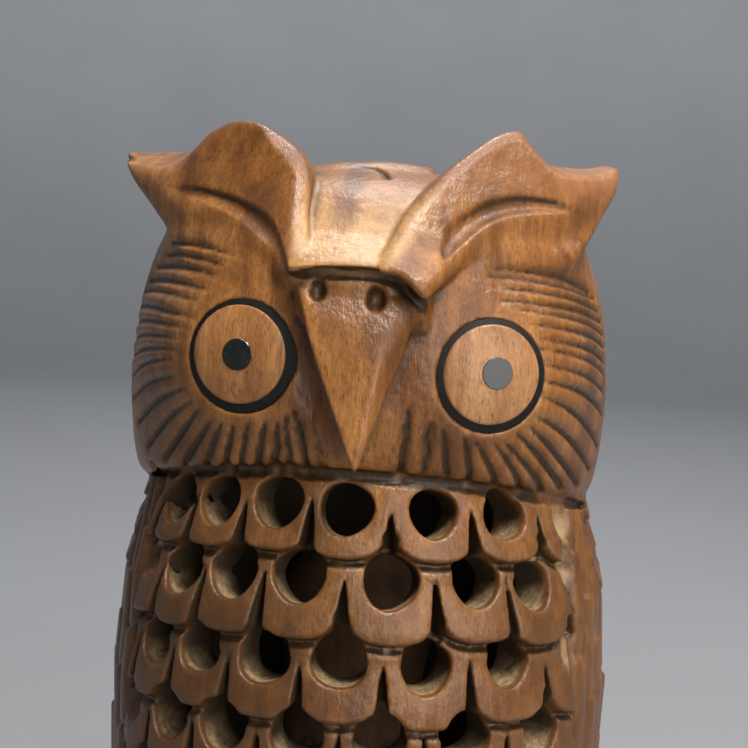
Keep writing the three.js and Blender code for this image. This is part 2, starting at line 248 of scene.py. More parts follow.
class Field:
    """Distance to a solid's surface on a grid, negative inside the wood."""

    def __init__(self, low, high, step):
        self.low = np.array(low, np.float64)
        self.step = step
        counts = np.ceil((np.array(high) - self.low) / step).astype(int) + 1
        self.axes = [(self.low[i] + step * np.arange(counts[i])).astype(np.float32) for i in range(3)]
        self.values = np.full(counts, FAR, np.float32)
        self.ink = np.zeros(counts, np.float32)

    def window(self, low, high):
        """The part of the grid between two corners: its slices, and x, y and z there."""
        spans = []
        for axis, a, b in zip(self.axes, low, high):
            first = min(max(0, int(np.searchsorted(axis, a))), len(axis) - 1)
            last = max(first + 1, int(np.searchsorted(axis, b)))
            spans.append(slice(first, last))
        x = self.axes[0][spans[0]][:, None, None]
        y = self.axes[1][spans[1]][None, :, None]
        z = self.axes[2][spans[2]][None, None, :]
        return tuple(spans), x, y, z

    def join(self, shape, low, high, blend=0.0):
        spans, x, y, z = self.window(low, high)
        self.values[spans] = smooth_min(self.values[spans], shape(x, y, z), blend)

    def cut(self, shape, low, high, blend=0.0):
        spans, x, y, z = self.window(low, high)
        self.values[spans] = smooth_max(self.values[spans], -shape(x, y, z), blend)

    def paint(self, shape, low, high, strength):
        """Marks painted shade and stain on and just outside a cut; a negative strength marks bare wood."""
        spans, x, y, z = self.window(low, high)
        mark = strength * np.clip(1 - shape(x, y, z) / (0.8 * self.step), 0, 1)
        pick = np.maximum if strength > 0 else np.minimum
        self.ink[spans] = pick(self.ink[spans], mark)

    def scoop(self, centre, radii, blend, bare=0.0):
        """Cuts an oval hollow and leaves it bare of stain by so much."""
        reach = max(radii) + 1.6
        place = (lambda x, y, z: ellipsoid(x, y, z, centre, radii)), centre - reach, centre + reach
        self.cut(*place, blend)
        if bare:
            self.paint(*place, -bare)

    def bars(self, centres, radii):
        """Each step of a line as a capsule, with the corners of a window that holds it."""
        radii = np.broadcast_to(radii, len(centres))
        for a, b, ra, rb in zip(centres[:-1], centres[1:], radii[:-1], radii[1:]):
            reach = max(ra, rb) + 1.5
            low, high = np.minimum(a, b) - reach, np.maximum(a, b) + reach
            yield (lambda x, y, z: capsule(x, y, z, a, b, ra, rb)), low, high

    def groove(self, centres, radii, blend):
        for place in self.bars(np.asarray(centres), radii):
            self.cut(*place, blend)

    def add_bars(self, centres, radii, blend):
        for place in self.bars(np.asarray(centres), radii):
            self.join(*place, blend)

    def stain_and_shade_line(self, centres, radii, strength):
        for place in self.bars(np.asarray(centres), radii):
            self.paint(*place, strength)

    def knife_cut(self, bearings, heights, widths, stain=1.0):
        """Cuts a tapering groove along a line on the surface: a soft valley with a narrow slot painted dark
        with stain and painted shade.
        """
        points = self.surface_at(bearings, heights)
        normals = self.slope(points)
        widths = np.asarray(widths, float)
        self.groove(points + normals * (widths * 1.5)[:, None], widths * 2.05, 0.4)
        self.groove(points - normals * (widths * 0.6)[:, None], np.maximum(widths * 0.9, 0.1), 0.1)
        self.stain_and_shade_line(points - normals * (widths * 1.25)[:, None], widths * 0.5, stain)

    def soften(self):
        """One light blur, which takes the grid's steps out of sharp cuts."""
        for axis in range(3):
            v = self.values
            self.values = 0.14 * np.roll(v, 1, axis) + 0.72 * v + 0.14 * np.roll(v, -1, axis)

    def sample(self, points, values=None):
        """The distance at any points, or another quantity kept on the same grid."""
        values = self.values if values is None else values
        g = np.clip((np.asarray(points, float) - self.low) / self.step, 0, np.array(values.shape) - 1.001)
        i = g.astype(int)
        f = g - i
        result = 0
        for corner in itertools.product((0, 1), repeat=3):
            weight = np.prod(np.abs(1 - np.array(corner) - f), axis=1)
            result = result + weight * values[tuple((i + corner).T)]
        return result

    def slope(self, points):
        """Which way the surface faces at each point."""
        g = np.stack([self.sample(points + shift) - self.sample(points - shift)
                      for shift in np.eye(3) * self.step * 0.75], 1)
        return g / (np.linalg.norm(g, axis=1, keepdims=True) + 1e-9)

    def first_wood(self, start, end, count=80):
        """The first place on the way from one point to another that lies in the wood."""
        column = np.linspace(start, end, count)
        return column[np.argmax(self.sample(column) < 0)]

    def surface_at(self, bearings, heights):
        """The outermost points of the surface at given bearings and heights."""
        bearings, heights = np.atleast_1d(bearings), np.atleast_1d(heights)
        radii = np.arange(46, 6, -0.25)
        angle = np.radians(bearings)[:, None]
        x = np.sin(angle) * radii
        y = -np.cos(angle) * radii
        z = np.repeat(heights[:, None], len(radii), 1)
        v = self.sample(np.stack([x, y, z], -1).reshape(-1, 3)).reshape(x.shape)
        first = np.maximum(np.argmax(v < 0, axis=1), 1)
        rows = np.arange(len(first))
        before = v[rows, first - 1]
        share = before / (before - v[rows, first] + 1e-9)
        r = radii[first - 1] - 0.25 * np.clip(share, 0, 1)
        return np.stack([np.sin(angle[:, 0]) * r, -np.cos(angle[:, 0]) * r, heights], 1)



# ---- Lattice layout -----------------------------------------------------------------


class FeatherRow:
    """One row of feathers seen from its own side: bearings are counted from `facing`."""

    def __init__(self, row, facing, rng):
        self.facing = facing
        self.height = TOP_ROW - ROW_PITCH * row + (0.7 if row == 1 else -0.1)
        self.bottom = self.height - (6.0 if row == 0 else SCALE_DROP)
        columns = np.arange(-5, 6) + 0.5 * (row % 2)
        if facing == 0:
            spread = 1 - 0.02 * min(row, 3)
            self.bearings = -1.7 + (COLUMN_PITCH * columns + 0.6 * columns**2) * spread
            for column, shift in WANDER.get(row, {}).items():
                self.bearings[column] += shift
            self.radii = HOLE_RADIUS + rng.normal(0, 0.12, len(columns))
        else:
            self.bearings = COLUMN_PITCH * columns
            self.radii = BACK_HOLE_RADIUS + rng.normal(0, 0.1, len(columns))
        self.bearings = self.bearings + rng.normal(0, 0.4, len(columns))
        self.lifts = rng.normal(0, 0.2, len(columns))
        self.flares = rng.uniform(0.7, 1.1, len(columns))

    def droop(self, bearing):
        return 1.4 * (bearing / 45) ** 2


def lattice(rng):
    return [FeatherRow(row, facing, rng) for facing in (0, 180) for row in range(ROWS)]


def wrap(degrees):
    return (degrees + 180) % 360 - 180


def feather_relief(row, bearing, height, radius, relief):
    """Lays one row of overlapping feathers over the relief of the row below it."""
    own = wrap(bearing - row.facing)
    middles = (row.bearings[1:] + row.bearings[:-1]) / 2
    column = np.searchsorted(middles, own)
    arc = np.radians(1) * radius
    across = (own - row.bearings[column]) * arc
    half = 0.5 * COLUMN_PITCH * arc
    corner = np.clip(np.abs(across) / half, 0, 1) ** 2.6
    edge = row.bottom - row.droop(own) + row.lifts[column] + 3.4 * (1 - (1 - corner) ** (1 / 2.6))
    above = height - edge
    cover = smooth_step((above + 0.1) / 0.4)
    lean = SCALE_STEP * np.clip(1 - above / (ROW_PITCH * 1.1), 0, 1) ** 0.8
    lean = lean - 0.3 * (across / half) ** 2
    ledge = 0.3 * np.exp(-(((above + 1.5) / 0.5) ** 2))
    gap = 0.75 * np.exp(-(((above + 0.45) / 0.36) ** 2))
    return (relief + ledge) * (1 - cover) + lean * cover - gap * (1 - cover)


def wing_edges(bearing, height):
    """Where a wing starts and ends round the body, in degrees from the front."""
    heights = [10, 16, 24, 36, 50, 66, 78, 90, 98, 106]
    front = np.interp(height, heights, [118, 108, 84, 68, 61, 57, 56, 58, 62, 66])
    back = np.interp(height, heights, [118, 122, 124, 124, 125, 125, 124, 120, 114, 110])
    return front + np.where(bearing < 0, 4, 1), back


def wing_relief(bearing, height, radius, relief):
    """Long narrow flight feathers with small steps in them, and short rounded ones on the shoulder."""
    side = np.abs(bearing)
    front, back = wing_edges(bearing, height)
    arc = np.radians(1) * radius
    inset = np.minimum(side - front, back - side) * arc
    cover = smooth_step((inset + 0.15) / 0.5)
    share = np.clip((side - front) / np.maximum(back - front, 1), 0, 0.999)
    sweep = np.clip((104 - height) / 90, 0, 1) ** 2
    place = 8 * (1.35 * share - 0.35 * share**2) + 0.5 * sweep * share
    frac = place - np.floor(place)
    ridge = 0.95 * (np.sin(np.pi * np.clip(frac, 0.02, 0.98)) ** 0.45 - 0.55)
    step = (height + 6.1 * np.floor(place) + 0.1 * side) / 14.2
    step = step - np.floor(step)
    notch = 0.4 * step - 0.3 * np.exp(-(((step - 0.03) / 0.03) ** 2))
    flight = 0.35 + ridge + notch
    short = np.zeros_like(height)
    for row, bottom in enumerate((84, 89, 94, 99)):
        across = (side / 9.5 + 0.5 * (row % 2)) % 1 - 0.5
        edge = bottom + 2.6 * (1 - np.sqrt(np.maximum(1 - (2 * across) ** 2, 0))) + 0.08 * (side - 60)
        above = height - edge
        on = smooth_step((above + 0.1) / 0.4)
        lean = 1.5 - 0.16 * np.clip(above, 0, 6)
        short = short * (1 - on) + lean * on - 0.5 * np.exp(-(((above + 0.4) / 0.35) ** 2)) * (1 - on)
    shoulder = smooth_step((height - 83 - 0.08 * (side - 60)) / 3) * smooth_step((share - 0.2) / 0.08)
    raised = flight * (1 - shoulder) + np.maximum(short, 0.2) * shoulder
    gap = 0.95 * np.exp(-((inset / 0.5) ** 2)) * (inset < 1.5)
    return relief * (1 - cover) + raised * cover - gap * (1 - cover)


# ---- The carved block ---------------------------------------------------------------

BODY_RADII = [r for r, _ in BODY]
BODY_HEIGHTS = [h for _, h in BODY]
body_profile = turned_profile([(0, 3)] + BODY + [(0, 114)])
head_profile = turned_profile(HEAD[:2] + [tuple(p) for p in smooth_line(HEAD[2:], 50)])


def body_blank(x, y, z):
    """Distance to the plain egg-shaped body."""
    across = np.where(x < 0, x / NARROW_SIDE, x)
    return body_profile(oval_radius(across, y, BODY_FRONT, BODY_BACK), z)


def body_point(bearing, height):
    """A point on the plain body, and which way its surface faces there."""
    turn = math.radians(bearing)
    oval = BODY_FRONT if abs(bearing) < 90 else BODY_BACK
    width = NARROW_SIDE if bearing < 0 else 1.0
    stretch = math.hypot(math.sin(turn) / width, math.cos(turn) / oval)
    reach = np.interp(height, BODY_HEIGHTS, BODY_RADII) / stretch
    low, high = np.interp([height - 4, height + 4], BODY_HEIGHTS, BODY_RADII)
    lean = math.atan2(low - high, 8)
    flat = np.array([math.sin(turn), -math.cos(turn), 0])
    out = flat * math.cos(lean) + np.array([0, 0, math.sin(lean)])
    return flat * reach + np.array([0, 0, height]), out


def add_body(field, rows):
    """The body with its feathers and wings raised on it, worked out only close to the surface."""
    spans, x, y, z = field.window(*layer(-10, 114))
    values = np.ascontiguousarray(body_blank(x, y, z)).astype(np.float32)
    near = np.nonzero(np.abs(values) < 3.2)
    flat_x, flat_y = x[near[0], 0, 0], y[0, near[1], 0]
    height = z[0, 0, near[2]]
    bearing = bearing_of(flat_x, flat_y)
    radius = np.hypot(flat_x, flat_y)
    relief = np.zeros(len(height), np.float32)
    for facing in (0, 180):
        here = np.abs(wrap(bearing - facing)) < 90
        part = np.zeros(here.sum(), np.float32)
        for row in reversed([r for r in rows if r.facing == facing]):
            part = feather_relief(row, bearing[here], height[here], radius[here], part)
        relief[here] = part
    relief *= smooth_step((height - 16) / 8)
    relief = wing_relief(bearing, height, radius, relief)
    values[near] -= relief
    field.values[spans] = np.minimum(field.values[spans], values)


def hollow(x, y, z):
    shell = body_blank(x, y, z) + WALL
    return smooth_max(smooth_max(shell, z - HOLLOW_TOP, 3), HOLLOW_FLOOR - z, 3)


def drill(field, bearing, height, radius, phase):
    """A hole square to the surface, a little out of round."""
    centre, out = body_point(bearing, height)
    turn = math.radians(bearing)
    side = np.array([math.cos(turn), math.sin(turn), 0])
    up = np.cross(side, out)

    def bore(x, y, z):
        dx, dy, dz = x - centre[0], y - centre[1], z - centre[2]
        along = dx * out[0] + dy * out[1] + dz * out[2]
        right = dx * side[0] + dy * side[1]
        over = dx * up[0] + dy * up[1] + dz * up[2]
        wobble = 0.14 * np.sin(3 * np.arctan2(over, right) + phase)
        return np.maximum(np.hypot(right, over) - radius - wobble, -8 - along)

    field.cut(bore, centre - out * 5 - 10, centre - out * 5 + 10, 0.25)


def slit(field, bearing, apex, foot, half_width, depth):
    """A knife cut between two feathers, opening downwards."""
    centre, _ = body_point(bearing, (apex + foot) / 2)
    reach = np.array([6.5, 6.5, (apex - foot) / 2 + 1])

    def blade(x, y, z):
        across = np.abs(wrap(bearing_of(x, y) - bearing)) * np.radians(1) * np.hypot(x, y)
        down = np.clip((apex - z) / (apex - foot), 0, 1)
        sides = across - 0.05 - half_width * down
        ends = np.maximum(z - apex, foot - z)
        bottom = -body_blank(x, y, z) - depth * (0.35 + 0.65 * down)
        return np.maximum(np.maximum(sides, ends), bottom)

    field.cut(blade, centre - reach, centre + reach, 0.15)
    # painted shade down the slit's walls
    field.paint(blade, centre - reach, centre + reach, 0.6)


def cut_lattice(field, rows, rng):
    """A hole in every feather, or a gouge mark where no hole has room, and a slit between neighbours."""
    for row in rows:
        for column, own in enumerate(row.bearings):
            bearing = float(wrap(own + row.facing))
            height = row.height - row.droop(own) + row.lifts[column]
            open_row = row.facing == 0 or (row.height < BACK_TOP and abs(own) < 33)
            if open_row and room_for(bearing, height, row.facing) > 6.5:
                drill(field, bearing, height, row.radii[column], rng.uniform(0, 6))
            elif room_for(bearing, height, row.facing) > 1:
                dimple(field, bearing, height, 2.5, 3.1)
            if column + 1 < len(row.bearings):
                between = (own + row.bearings[column + 1]) / 2
                middle = float(wrap(between + row.facing))
                if room_for(middle, row.height, row.facing) > 2:
                    apex = row.height + 0.9 - row.droop(between) + rng.uniform(-0.8, 0.6)
                    foot = row.bottom - row.droop(between) + 0.3
                    slit(field, middle, apex, foot, row.flares[column], 4.4)


def bare_dimples(field, rows):
    """Shallow unstained gouge marks down the edge of each wing."""
    for row in [r for r in rows if r.facing == 0 and r.height > 20]:
        taken = np.array([own for own in row.bearings if room_for(own, row.height, 0) > 1])
        for side in (-1, 1):
            bearing = side * (float(wing_edges(np.float64(side), np.float64(row.height))[0]) - 2.9)
            if np.min(np.abs(taken - bearing)) > 9.6:
                dimple(field, bearing, row.height - 0.6, 1.4, 2.9)


def room_for(bearing, height, facing):
    """Degrees left between a place in the lattice and the wing beside it."""
    front, back = wing_edges(np.float64(bearing), np.float64(height))
    return front - abs(bearing) if facing == 0 else abs(bearing) - back


def dimple(field, bearing, height, wide, tall):
    """A shallow bare gouge mark in the surface."""
    point = field.surface_at(bearing, height)[0]
    field.scoop(point + field.slope(point[None])[0], (wide, wide, tall), 0.4, bare=0.8)


def head_blank(x, y, z):
    """Distance to the turned head with a dome under each eye; its underside rises towards the front."""
    facing = np.maximum(-y, 0) / np.maximum(np.hypot(x, y), 4)
    fade = np.clip((HEAD_LIFT_TOP - z) / 18, 0, 1)
    shell = head_profile(oval_radius(x, y, HEAD_FRONT, HEAD_BACK), z - HEAD_LIFT * facing * fade)
    under = HEAD_UNDER + HEAD_LIFT * facing - z
    for side in (-1, 1):
        centre = eye_point(side, 0, 0, -EYE_DOME)
        dome = np.sqrt((x - centre[0]) ** 2 + (y - centre[1]) ** 2 + (z - centre[2]) ** 2) - EYE_DOME
        shell = smooth_min(shell, smooth_max(dome, under, 0.8), 2.5)
    return shell


def cut_neck(field):
    """The knife line that parts the head from the feathers under it."""
    bearings = np.linspace(-81, 81, 55)
    facing = np.maximum(np.cos(np.radians(bearings)), 0)
    heights = NECK_LINE + HEAD_LIFT * facing + np.interp(bearings, [-70, 70], [0.9, -0.5])
    places = [body_point(bearing, height) for bearing, height in zip(bearings, heights)]
    line = [surface + 0.5 * out for surface, out in places]
    radii = np.interp(np.abs(bearings), [60, 81], [0.85, 0.5])
    field.groove(line, radii, 0.15)
    # painted shade along the knife line under the head's edge
    field.stain_and_shade_line(line, radii, 0.85)


def eye_axes(side):
    """An eye's own axes: across the face, out of the face, and up."""
    turn = side * EYE_TURN
    across = np.array([math.cos(turn), math.sin(turn), 0])
    out = np.array([math.sin(turn), -math.cos(turn), 0])
    return across, out, np.array([0, 0, 1.0])


def eye_point(side, across, up, out):
    a, o, u = eye_axes(side)
    return np.array([side * EYE_OUT[side], EYE_FACE, EYE_HEIGHT[side]]) + a * across + u * up + o * out


def ear_front(x, z):
    inner = smooth_step((13 - np.abs(x)) / 7) * smooth_step((136 - z) / 7)
    return -33 + 0.0155 * x * x + 0.55 * np.maximum(z - 130, -1) - 2.7 * inner


def add_ear(field, side):
    """A brow and ear in one: a leaning slab, bevelled along its inner edge and blended into the head."""
    front, back = flat_outline(EAR_FRONTS[side]), flat_outline(EAR_BACKS[side])
    spans, x, y, z = field.window((-40 if side < 0 else -2, -41, 121), (0 if side < 0 else 38, 14, 153))
    under = np.interp(x, *zip(*EAR_UNDERS[side]))
    skirt = 2.9 * smooth_step((under + 4.5 - z) / 5.5) * smooth_step((np.abs(x) - 7) / 5)
    depth = y - ear_front(x, z) - skirt
    share = np.clip(depth / EAR_THICK, 0, 1)
    flat = mix_by_share(front(x, z), back(x, z), share)
    if side < 0:
        inner = smooth_step((x + 15.5) / 3)
    else:
        inner = smooth_step((5.2 - (x - 1.2 - 0.74 * (z - 130))) / 2.5)
    wide = 0.45 + (EAR_BEVEL[side] - 0.45) * inner
    deep = 0.75 * wide
    bevel = (flat * deep - depth * wide + wide * deep) / np.hypot(wide, deep)
    dish = 0.5 * smooth_step(-flat / 5)
    slab = np.maximum(dish - depth, depth - EAR_THICK) * 0.85
    shape = smooth_max(smooth_max(flat, slab, 0.5), bevel, 0.35)
    blend = 0.5 + 3.0 * smooth_step((138 - z) / 5) * smooth_step((np.abs(x) - 11) / 4)
    field.values[spans] = smooth_min(field.values[spans], shape.astype(np.float32), blend.astype(np.float32))


def brow_floor(x):
    return np.interp(x, [-12, -9.6, -5, 1.5, 3.6, 6.6, 9], [129.2, 130.0, 130.1, 130.0, 129.6, 126.4, 125.0])


def add_forehead(field):
    """The flat that leans back from the brow to the crown, with the notch cut under the brow."""
    lean = math.radians(31.7)

    def plate(x, y, z):
        forward = y - 0.022 * (x + 1) ** 2
        top = (z - 130.0) * math.cos(lean) - (forward + 35.2) * math.sin(lean)
        top = smooth_max(top, z - CROWN + 0.14 * (y + 10) + 0.011 * (x - 1) ** 2, 1.5)
        sides = np.maximum(-9.9 - x, x - 3.4) - 0.3 * (z - 130)
        under = -0.6 * (y + 33.6) - 0.8 * (z - brow_floor(x))
        front = -35.3 - forward
        return smooth_max(smooth_max(np.maximum(top, front), under, 0.3), np.maximum(sides, y), 0.5)

    field.join(plate, (-20, -40, 122), (20, 2, 152), 0.5)


def cut_brow(field):
    """The notch under the edge of the brow, with painted shadow in it."""
    x = np.linspace(-9.2, 6.8, 18)
    y = -33.4 + 0.022 * (x + 1) ** 2
    line = np.stack([x, y, brow_floor(x) - 0.5], 1)
    field.groove(line, np.interp(x, [-9.2, -6, 4, 6.8], [0.4, 0.8, 0.75, 0.3]), 0.2)
    field.stain_and_shade_line(line + (0, 0, 0.4), 0.75, 0.9)


def plane(points):
    """A plane through three points as (normal, offset), facing away from the head's axis."""
    a, b, c = (np.array(p, float) for p in points)
    normal = np.cross(b - a, c - a)
    normal /= np.linalg.norm(normal)
    if normal @ (a - np.array([0, -20, 118])) < 0:
        normal = -normal
    return normal, normal @ a


def add_beak(field):
    """A four-sided wedge with a rolled top, under the band of wood that carries the brow."""
    tip = (-0.4, -38.4, 105.7)
    left_top, ridge_top, right_top = (-7.9, -34.8, 124.2), (2.7, -36.6, 123.4), (6.1, -32.6, 124.4)
    faces = [
        plane((left_top, ridge_top, tip)),
        plane((ridge_top, right_top, tip)),
        plane((left_top, tip, (-6.6, -27, 124.2))),
        plane((right_top, (5.6, -25, 124.1), tip)),
    ]
    roll = plane(((-7.5, -33.4, 126.6), (6.5, -33.2, 126.8), (-2, -36.6, 120.6)))

    def wedge(x, y, z):
        shape = np.maximum(z - 128, y + 18)
        for (normal, offset), soft in zip(faces + [roll], (0.2, 0.25, 0.25, 0.25, 1.6)):
            shape = smooth_max(shape, x * normal[0] + y * normal[1] + z * normal[2] - offset, soft)
        return shape

    def band(x, y, z):
        front = -33.3 - y + 0.08 * (129 - z) + 0.02 * (x + 1) ** 2
        return smooth_max(smooth_max(front, np.abs(x + 0.6) - 8.4, 1.5), np.abs(z - 126.8) - 4, 0.5)

    field.join(band, (-14, -40, 118), (12, -20, 134), 0.6)
    field.join(wedge, (-12, -42, 103), (10, -16, 130), 0.4)


def cut_valley(field, points, widths, crease_shift, stain):
    """The soft valley down one side of the beak, with stain and painted shade in a crease under the beak's
    edge.
    """
    line = smooth_line(points, 13)
    field.groove(line, np.interp(np.linspace(0, 1, 13), [0, 0.4, 1], widths), 1.0)
    crease = line + (crease_shift, 0.9, 0)
    field.groove(crease, 0.45, 0.2)
    field.stain_and_shade_line(crease + (0, 0.3, 0), 0.35, stain)


def cut_nostril(field, across, height, wide, deep, tall):
    """A bare scoop with painted shade under its roof."""
    front = field.first_wood((across, -42, height), (across, -26, height))
    centre = front - (0, 0.35, 0)
    field.scoop(centre, (wide, deep + 0.35, tall), 0.2, bare=0.5)
    roof = centre + (-0.25, deep * 0.75, tall * 0.45)
    field.stain_and_shade_line([roof, roof + (0.3, 0, -0.3)], [0.5, 0.4], 0.9)


def cut_face(field):
    """The valleys beside the beak and the nostrils over it."""
    right = ((-9.4, -32.6, 123.8), (-6.9, -32.2, 116.4), (-4.6, -32.8, 110.7), (-2.2, -34.2, 105.6))
    left = ((7.2, -32.6, 124.0), (4.6, -32.4, 116.4), (3.2, -33.0, 111.5), (1.0, -34.4, 105.8))
    # the -X valley gets more painted shade, as it lies in the beak's shadow
    cut_valley(field, right, [1.0, 1.9, 1.1], 0.9, 0.95)
    cut_valley(field, left, [0.7, 1.1, 0.9], -0.5, 0.5)
    cut_nostril(field, -6.0, 127.5, 1.05, 1.1, 1.45)
    cut_nostril(field, 1.05, 126.8, 1.2, 1.3, 1.75)


def rough_cuts(field):
    """The knife's long splinter lines beside the beak."""
    rng = np.random.default_rng(11)
    for side, low, high, count in ((-1, -20, -8.5, 8), (1, 7.0, 15, 6)):
        for bearing in np.linspace(low, high, count):
            top = rng.uniform(109, 116) if side < 0 else rng.uniform(108, 114)
            t = np.linspace(0, 1, 6)
            bearings = bearing + rng.normal(0, 0.5) + (0.35 * bearing) * (1 - t) * 0.6
            width = rng.uniform(0.16, 0.27)
            field.knife_cut(bearings, top + (105.2 - top) * t, width * np.sin(np.pi * (0.1 + 0.8 * t)), 0.55)


def feather_fans(field):
    """The feather cuts that fan out round each eye."""
    fans = {
        -1: (22, [(-33.5, 131.2), (-38.5, 127), (-40.5, 121.8), (-45.5, 117.3), (-40.4, 112.4), (-33, 110.2),
                  (-22, 110.8), (-15.0, 112.3)],
             [(-60, 132.6), (-74, 127.6), (-84, 121), (-80, 113.2), (-64, 104.6), (-42, 102.8), (-26, 103.8),
              (-13.5, 104.6)]),
        1: (21, [(29.5, 131.2), (31, 128), (38.5, 123.4), (41.2, 118.6), (39.8, 112.4), (33, 109.4),
                 (22.6, 110.1), (10.6, 113.6)],
            [(70, 129.0), (78, 125.2), (84, 119.0), (82, 112.0), (70, 102.8), (50, 101.9), (27, 104.0),
             (10.6, 105.2)]),
    }
    rng = np.random.default_rng(7)
    for count, inner, outer in fans.values():
        starts, ends = smooth_line(inner, count), smooth_line(outer, count)
        for start, end in zip(starts, ends):
            start = start + rng.normal(0, 0.3, 2) * (1.6, 0.7)
            end = end + rng.normal(0, 0.2, 2)
            t = np.linspace(0, 1, 10)
            bow = 0.6 * np.sin(np.pi * t) * (1 if start[1] > 112 else 0)
            bearings = start[0] + (end[0] - start[0]) * t
            heights = start[1] + (end[1] - start[1]) * t + bow
            widths = rng.uniform(0.43, 0.54) * np.interp(t, [0, 0.3, 0.8, 1], [0.3, 0.85, 1.05, 0.85])
            stain = np.interp(start[1], [114, 120], [0.95, 0.7])
            field.knife_cut(bearings, heights, widths, stain)


def cut_ears(field):
    """The curved groove down the front of each ear."""
    for side, points in EAR_GROOVES.items():
        line = smooth_line(points, 22)
        y = ear_front(line[:, 0], line[:, 1])
        t = np.linspace(0, 1, 22)
        wide = np.interp(t, [0, 0.2, 0.6, 1], [0.15, 0.6, 0.95, 0.35] if side < 0 else [0.3, 0.95, 0.9, 0.15])
        valley = np.stack([line[:, 0], y + 0.6 - 0.9 * wide, line[:, 1] - 0.4 * wide], 1)
        slot = np.stack([line[:, 0], y + 0.75, line[:, 1] + 0.2], 1)
        field.groove(valley, 1.5 * wide, 0.3)
        field.groove(slot, 0.65 * wide, 0.15)
        # painted shade in the slot of each groove
        field.stain_and_shade_line(slot + (0, 0.3, 0), 0.4 * wide, 0.85)


def cut_crown_mark(field):
    """One curved chisel mark on the crown."""
    flat = [(-3.4, -12.7), (-1.6, -12.1), (0.1, -12.6), (1.0, -14.6), (1.4, -17.4)]
    line = [field.first_wood((x, y, 150), (x, y, 134.2)) for x, y in smooth_line(flat, 12)]
    wide = np.interp(np.linspace(0, 1, 12), [0, 0.6, 1], [0.12, 0.5, 0.45])
    field.groove(line, wide, 0.15)
    # stain and painted shade in the mark
    field.stain_and_shade_line(line, wide * 0.8, 1.0)


def cut_sockets(field):
    """A round pocket for each eye ring."""
    for side in (-1, 1):
        a, b = eye_point(side, 0, 0, 6), eye_point(side, 0, 0, -5)
        across, out, _ = eye_axes(side)

        def socket(x, y, z):
            along = (x - b[0]) * out[0] + (y - b[1]) * out[1]
            side_ways = (x - b[0]) * across[0] + (y - b[1]) * across[1]
            return np.maximum(np.sqrt(side_ways**2 + (z - b[2]) ** 2) - (RING_OUTER - 0.06), -along)

        field.cut(socket, np.minimum(a, b) - 9, np.maximum(a, b) + 9, 0)


def crescents(field):
    """Rows of small feather marks over the back of the head."""
    for row, height in enumerate(np.arange(136.5, 100, -5.4)):
        radius = float(np.interp(height, [98, 115, 126, 134, 140], [32, 35, 33.6, 29.8, 21]))
        pitch = math.degrees(6.6 / radius)
        count = int(152 / pitch)
        for column in range(count + 1):
            middle = 180 + (column - count / 2 + 0.5 * (row % 2)) * pitch
            t = np.radians(np.linspace(-80, 80, 8))
            bearings = middle + np.degrees(2.9 * np.sin(t) / radius)
            heights = height - 2.9 * np.cos(t)
            if abs(wrap(middle - 180)) < 84:
                field.knife_cut(bearings, heights, 0.12 + 0.36 * np.cos(t * 0.9))


def add_toe(field, across, spread):
    """One toe with two creases and a claw, resting on the plinth."""
    root = np.array([across + 3.2 * spread, -17, PLINTH_HEIGHT + 4.0])
    knuckle = np.array([across + 4.3 * spread, -22.4, PLINTH_HEIGHT + 2.2])
    claw = np.array([across + 4.9 * spread, -25.2, PLINTH_HEIGHT + 0.4])
    field.add_bars([root, knuckle], [2.3, 2.0], 0.7)
    field.add_bars([knuckle, claw], [1.9, 0.8], 0.5)
    arc = np.radians(np.linspace(-80, 80, 7))
    for share in (0.35, 0.75):
        middle = mix_by_share(root, knuckle, share)
        field.groove(middle + 2.2 * np.stack([np.sin(arc), 0 * arc, np.cos(arc)], 1), 0.3, 0.15)


def add_base(field):
    """The oval plinth, the tail that reaches down to it and three toes on each side."""
    edge = (PLINTH_RADIUS, PLINTH_HEIGHT - PLINTH_EDGE), (PLINTH_RADIUS - PLINTH_EDGE, PLINTH_HEIGHT)
    rim = turned_profile([(0, 0), (PLINTH_RADIUS - 1, 0), (PLINTH_RADIUS, 1), *edge, (0, PLINTH_HEIGHT)])

    def plinth(x, y, z):
        return rim(oval_radius(x, y, BODY_FRONT, BODY_BACK), z)

    field.join(plinth, (-40, -40, -3), (40, 40, 12), 0.4)
    add_tail(field)
    for side in (-1, 1):
        for spread in (-1, 0, 1):
            add_toe(field, side * 10.5, spread)


def add_tail(field):
    """A tail wedge down the back to the plinth, with long feather lines and barbs."""
    tail = np.array([(12, 5), (25.2, 5), (27.5, 14), (31.0, 40), (30.4, 50), (27.5, 58), (14, 58)], float)

    def slab(x, y, z):
        flank = np.abs(x) - 6.5 - 0.075 * (58 - z)
        side = np.broadcast_to(outline_distance(tail, y, z), np.broadcast(x, y, z).shape)
        return smooth_max(side, flank, 1.6)

    def place(lane, heights):
        """Points on the tail's back face along one of its lanes, which spread towards the foot."""
        depth = np.interp(heights, tail[1:6, 1], tail[1:6, 0])
        return np.stack([lane * (1.22 - 0.006 * heights), depth, heights], 1)

    field.join(slab, (-15, 8, 3), (15, 38, 64), 1.0)
    for lane in (-7.0, -4.2, -1.4, 1.4, 4.2, 7.0):
        line = place(lane, np.linspace(8, 54, 16))
        field.groove(line, 0.62, 0.3)
        # stain and painted shade along each feather line
        field.stain_and_shade_line(line, 0.4, 0.7)
    for lane in (-5.6, -2.8, 0, 2.8, 5.6):
        for shaft in place(lane, np.arange(12, 54, 4.2)):
            for way in (-1, 1):
                field.groove([shaft + (0, 0.1, -1.2), shaft + (1.2 * way, 0.1, 0.4)], 0.35, 0.15)


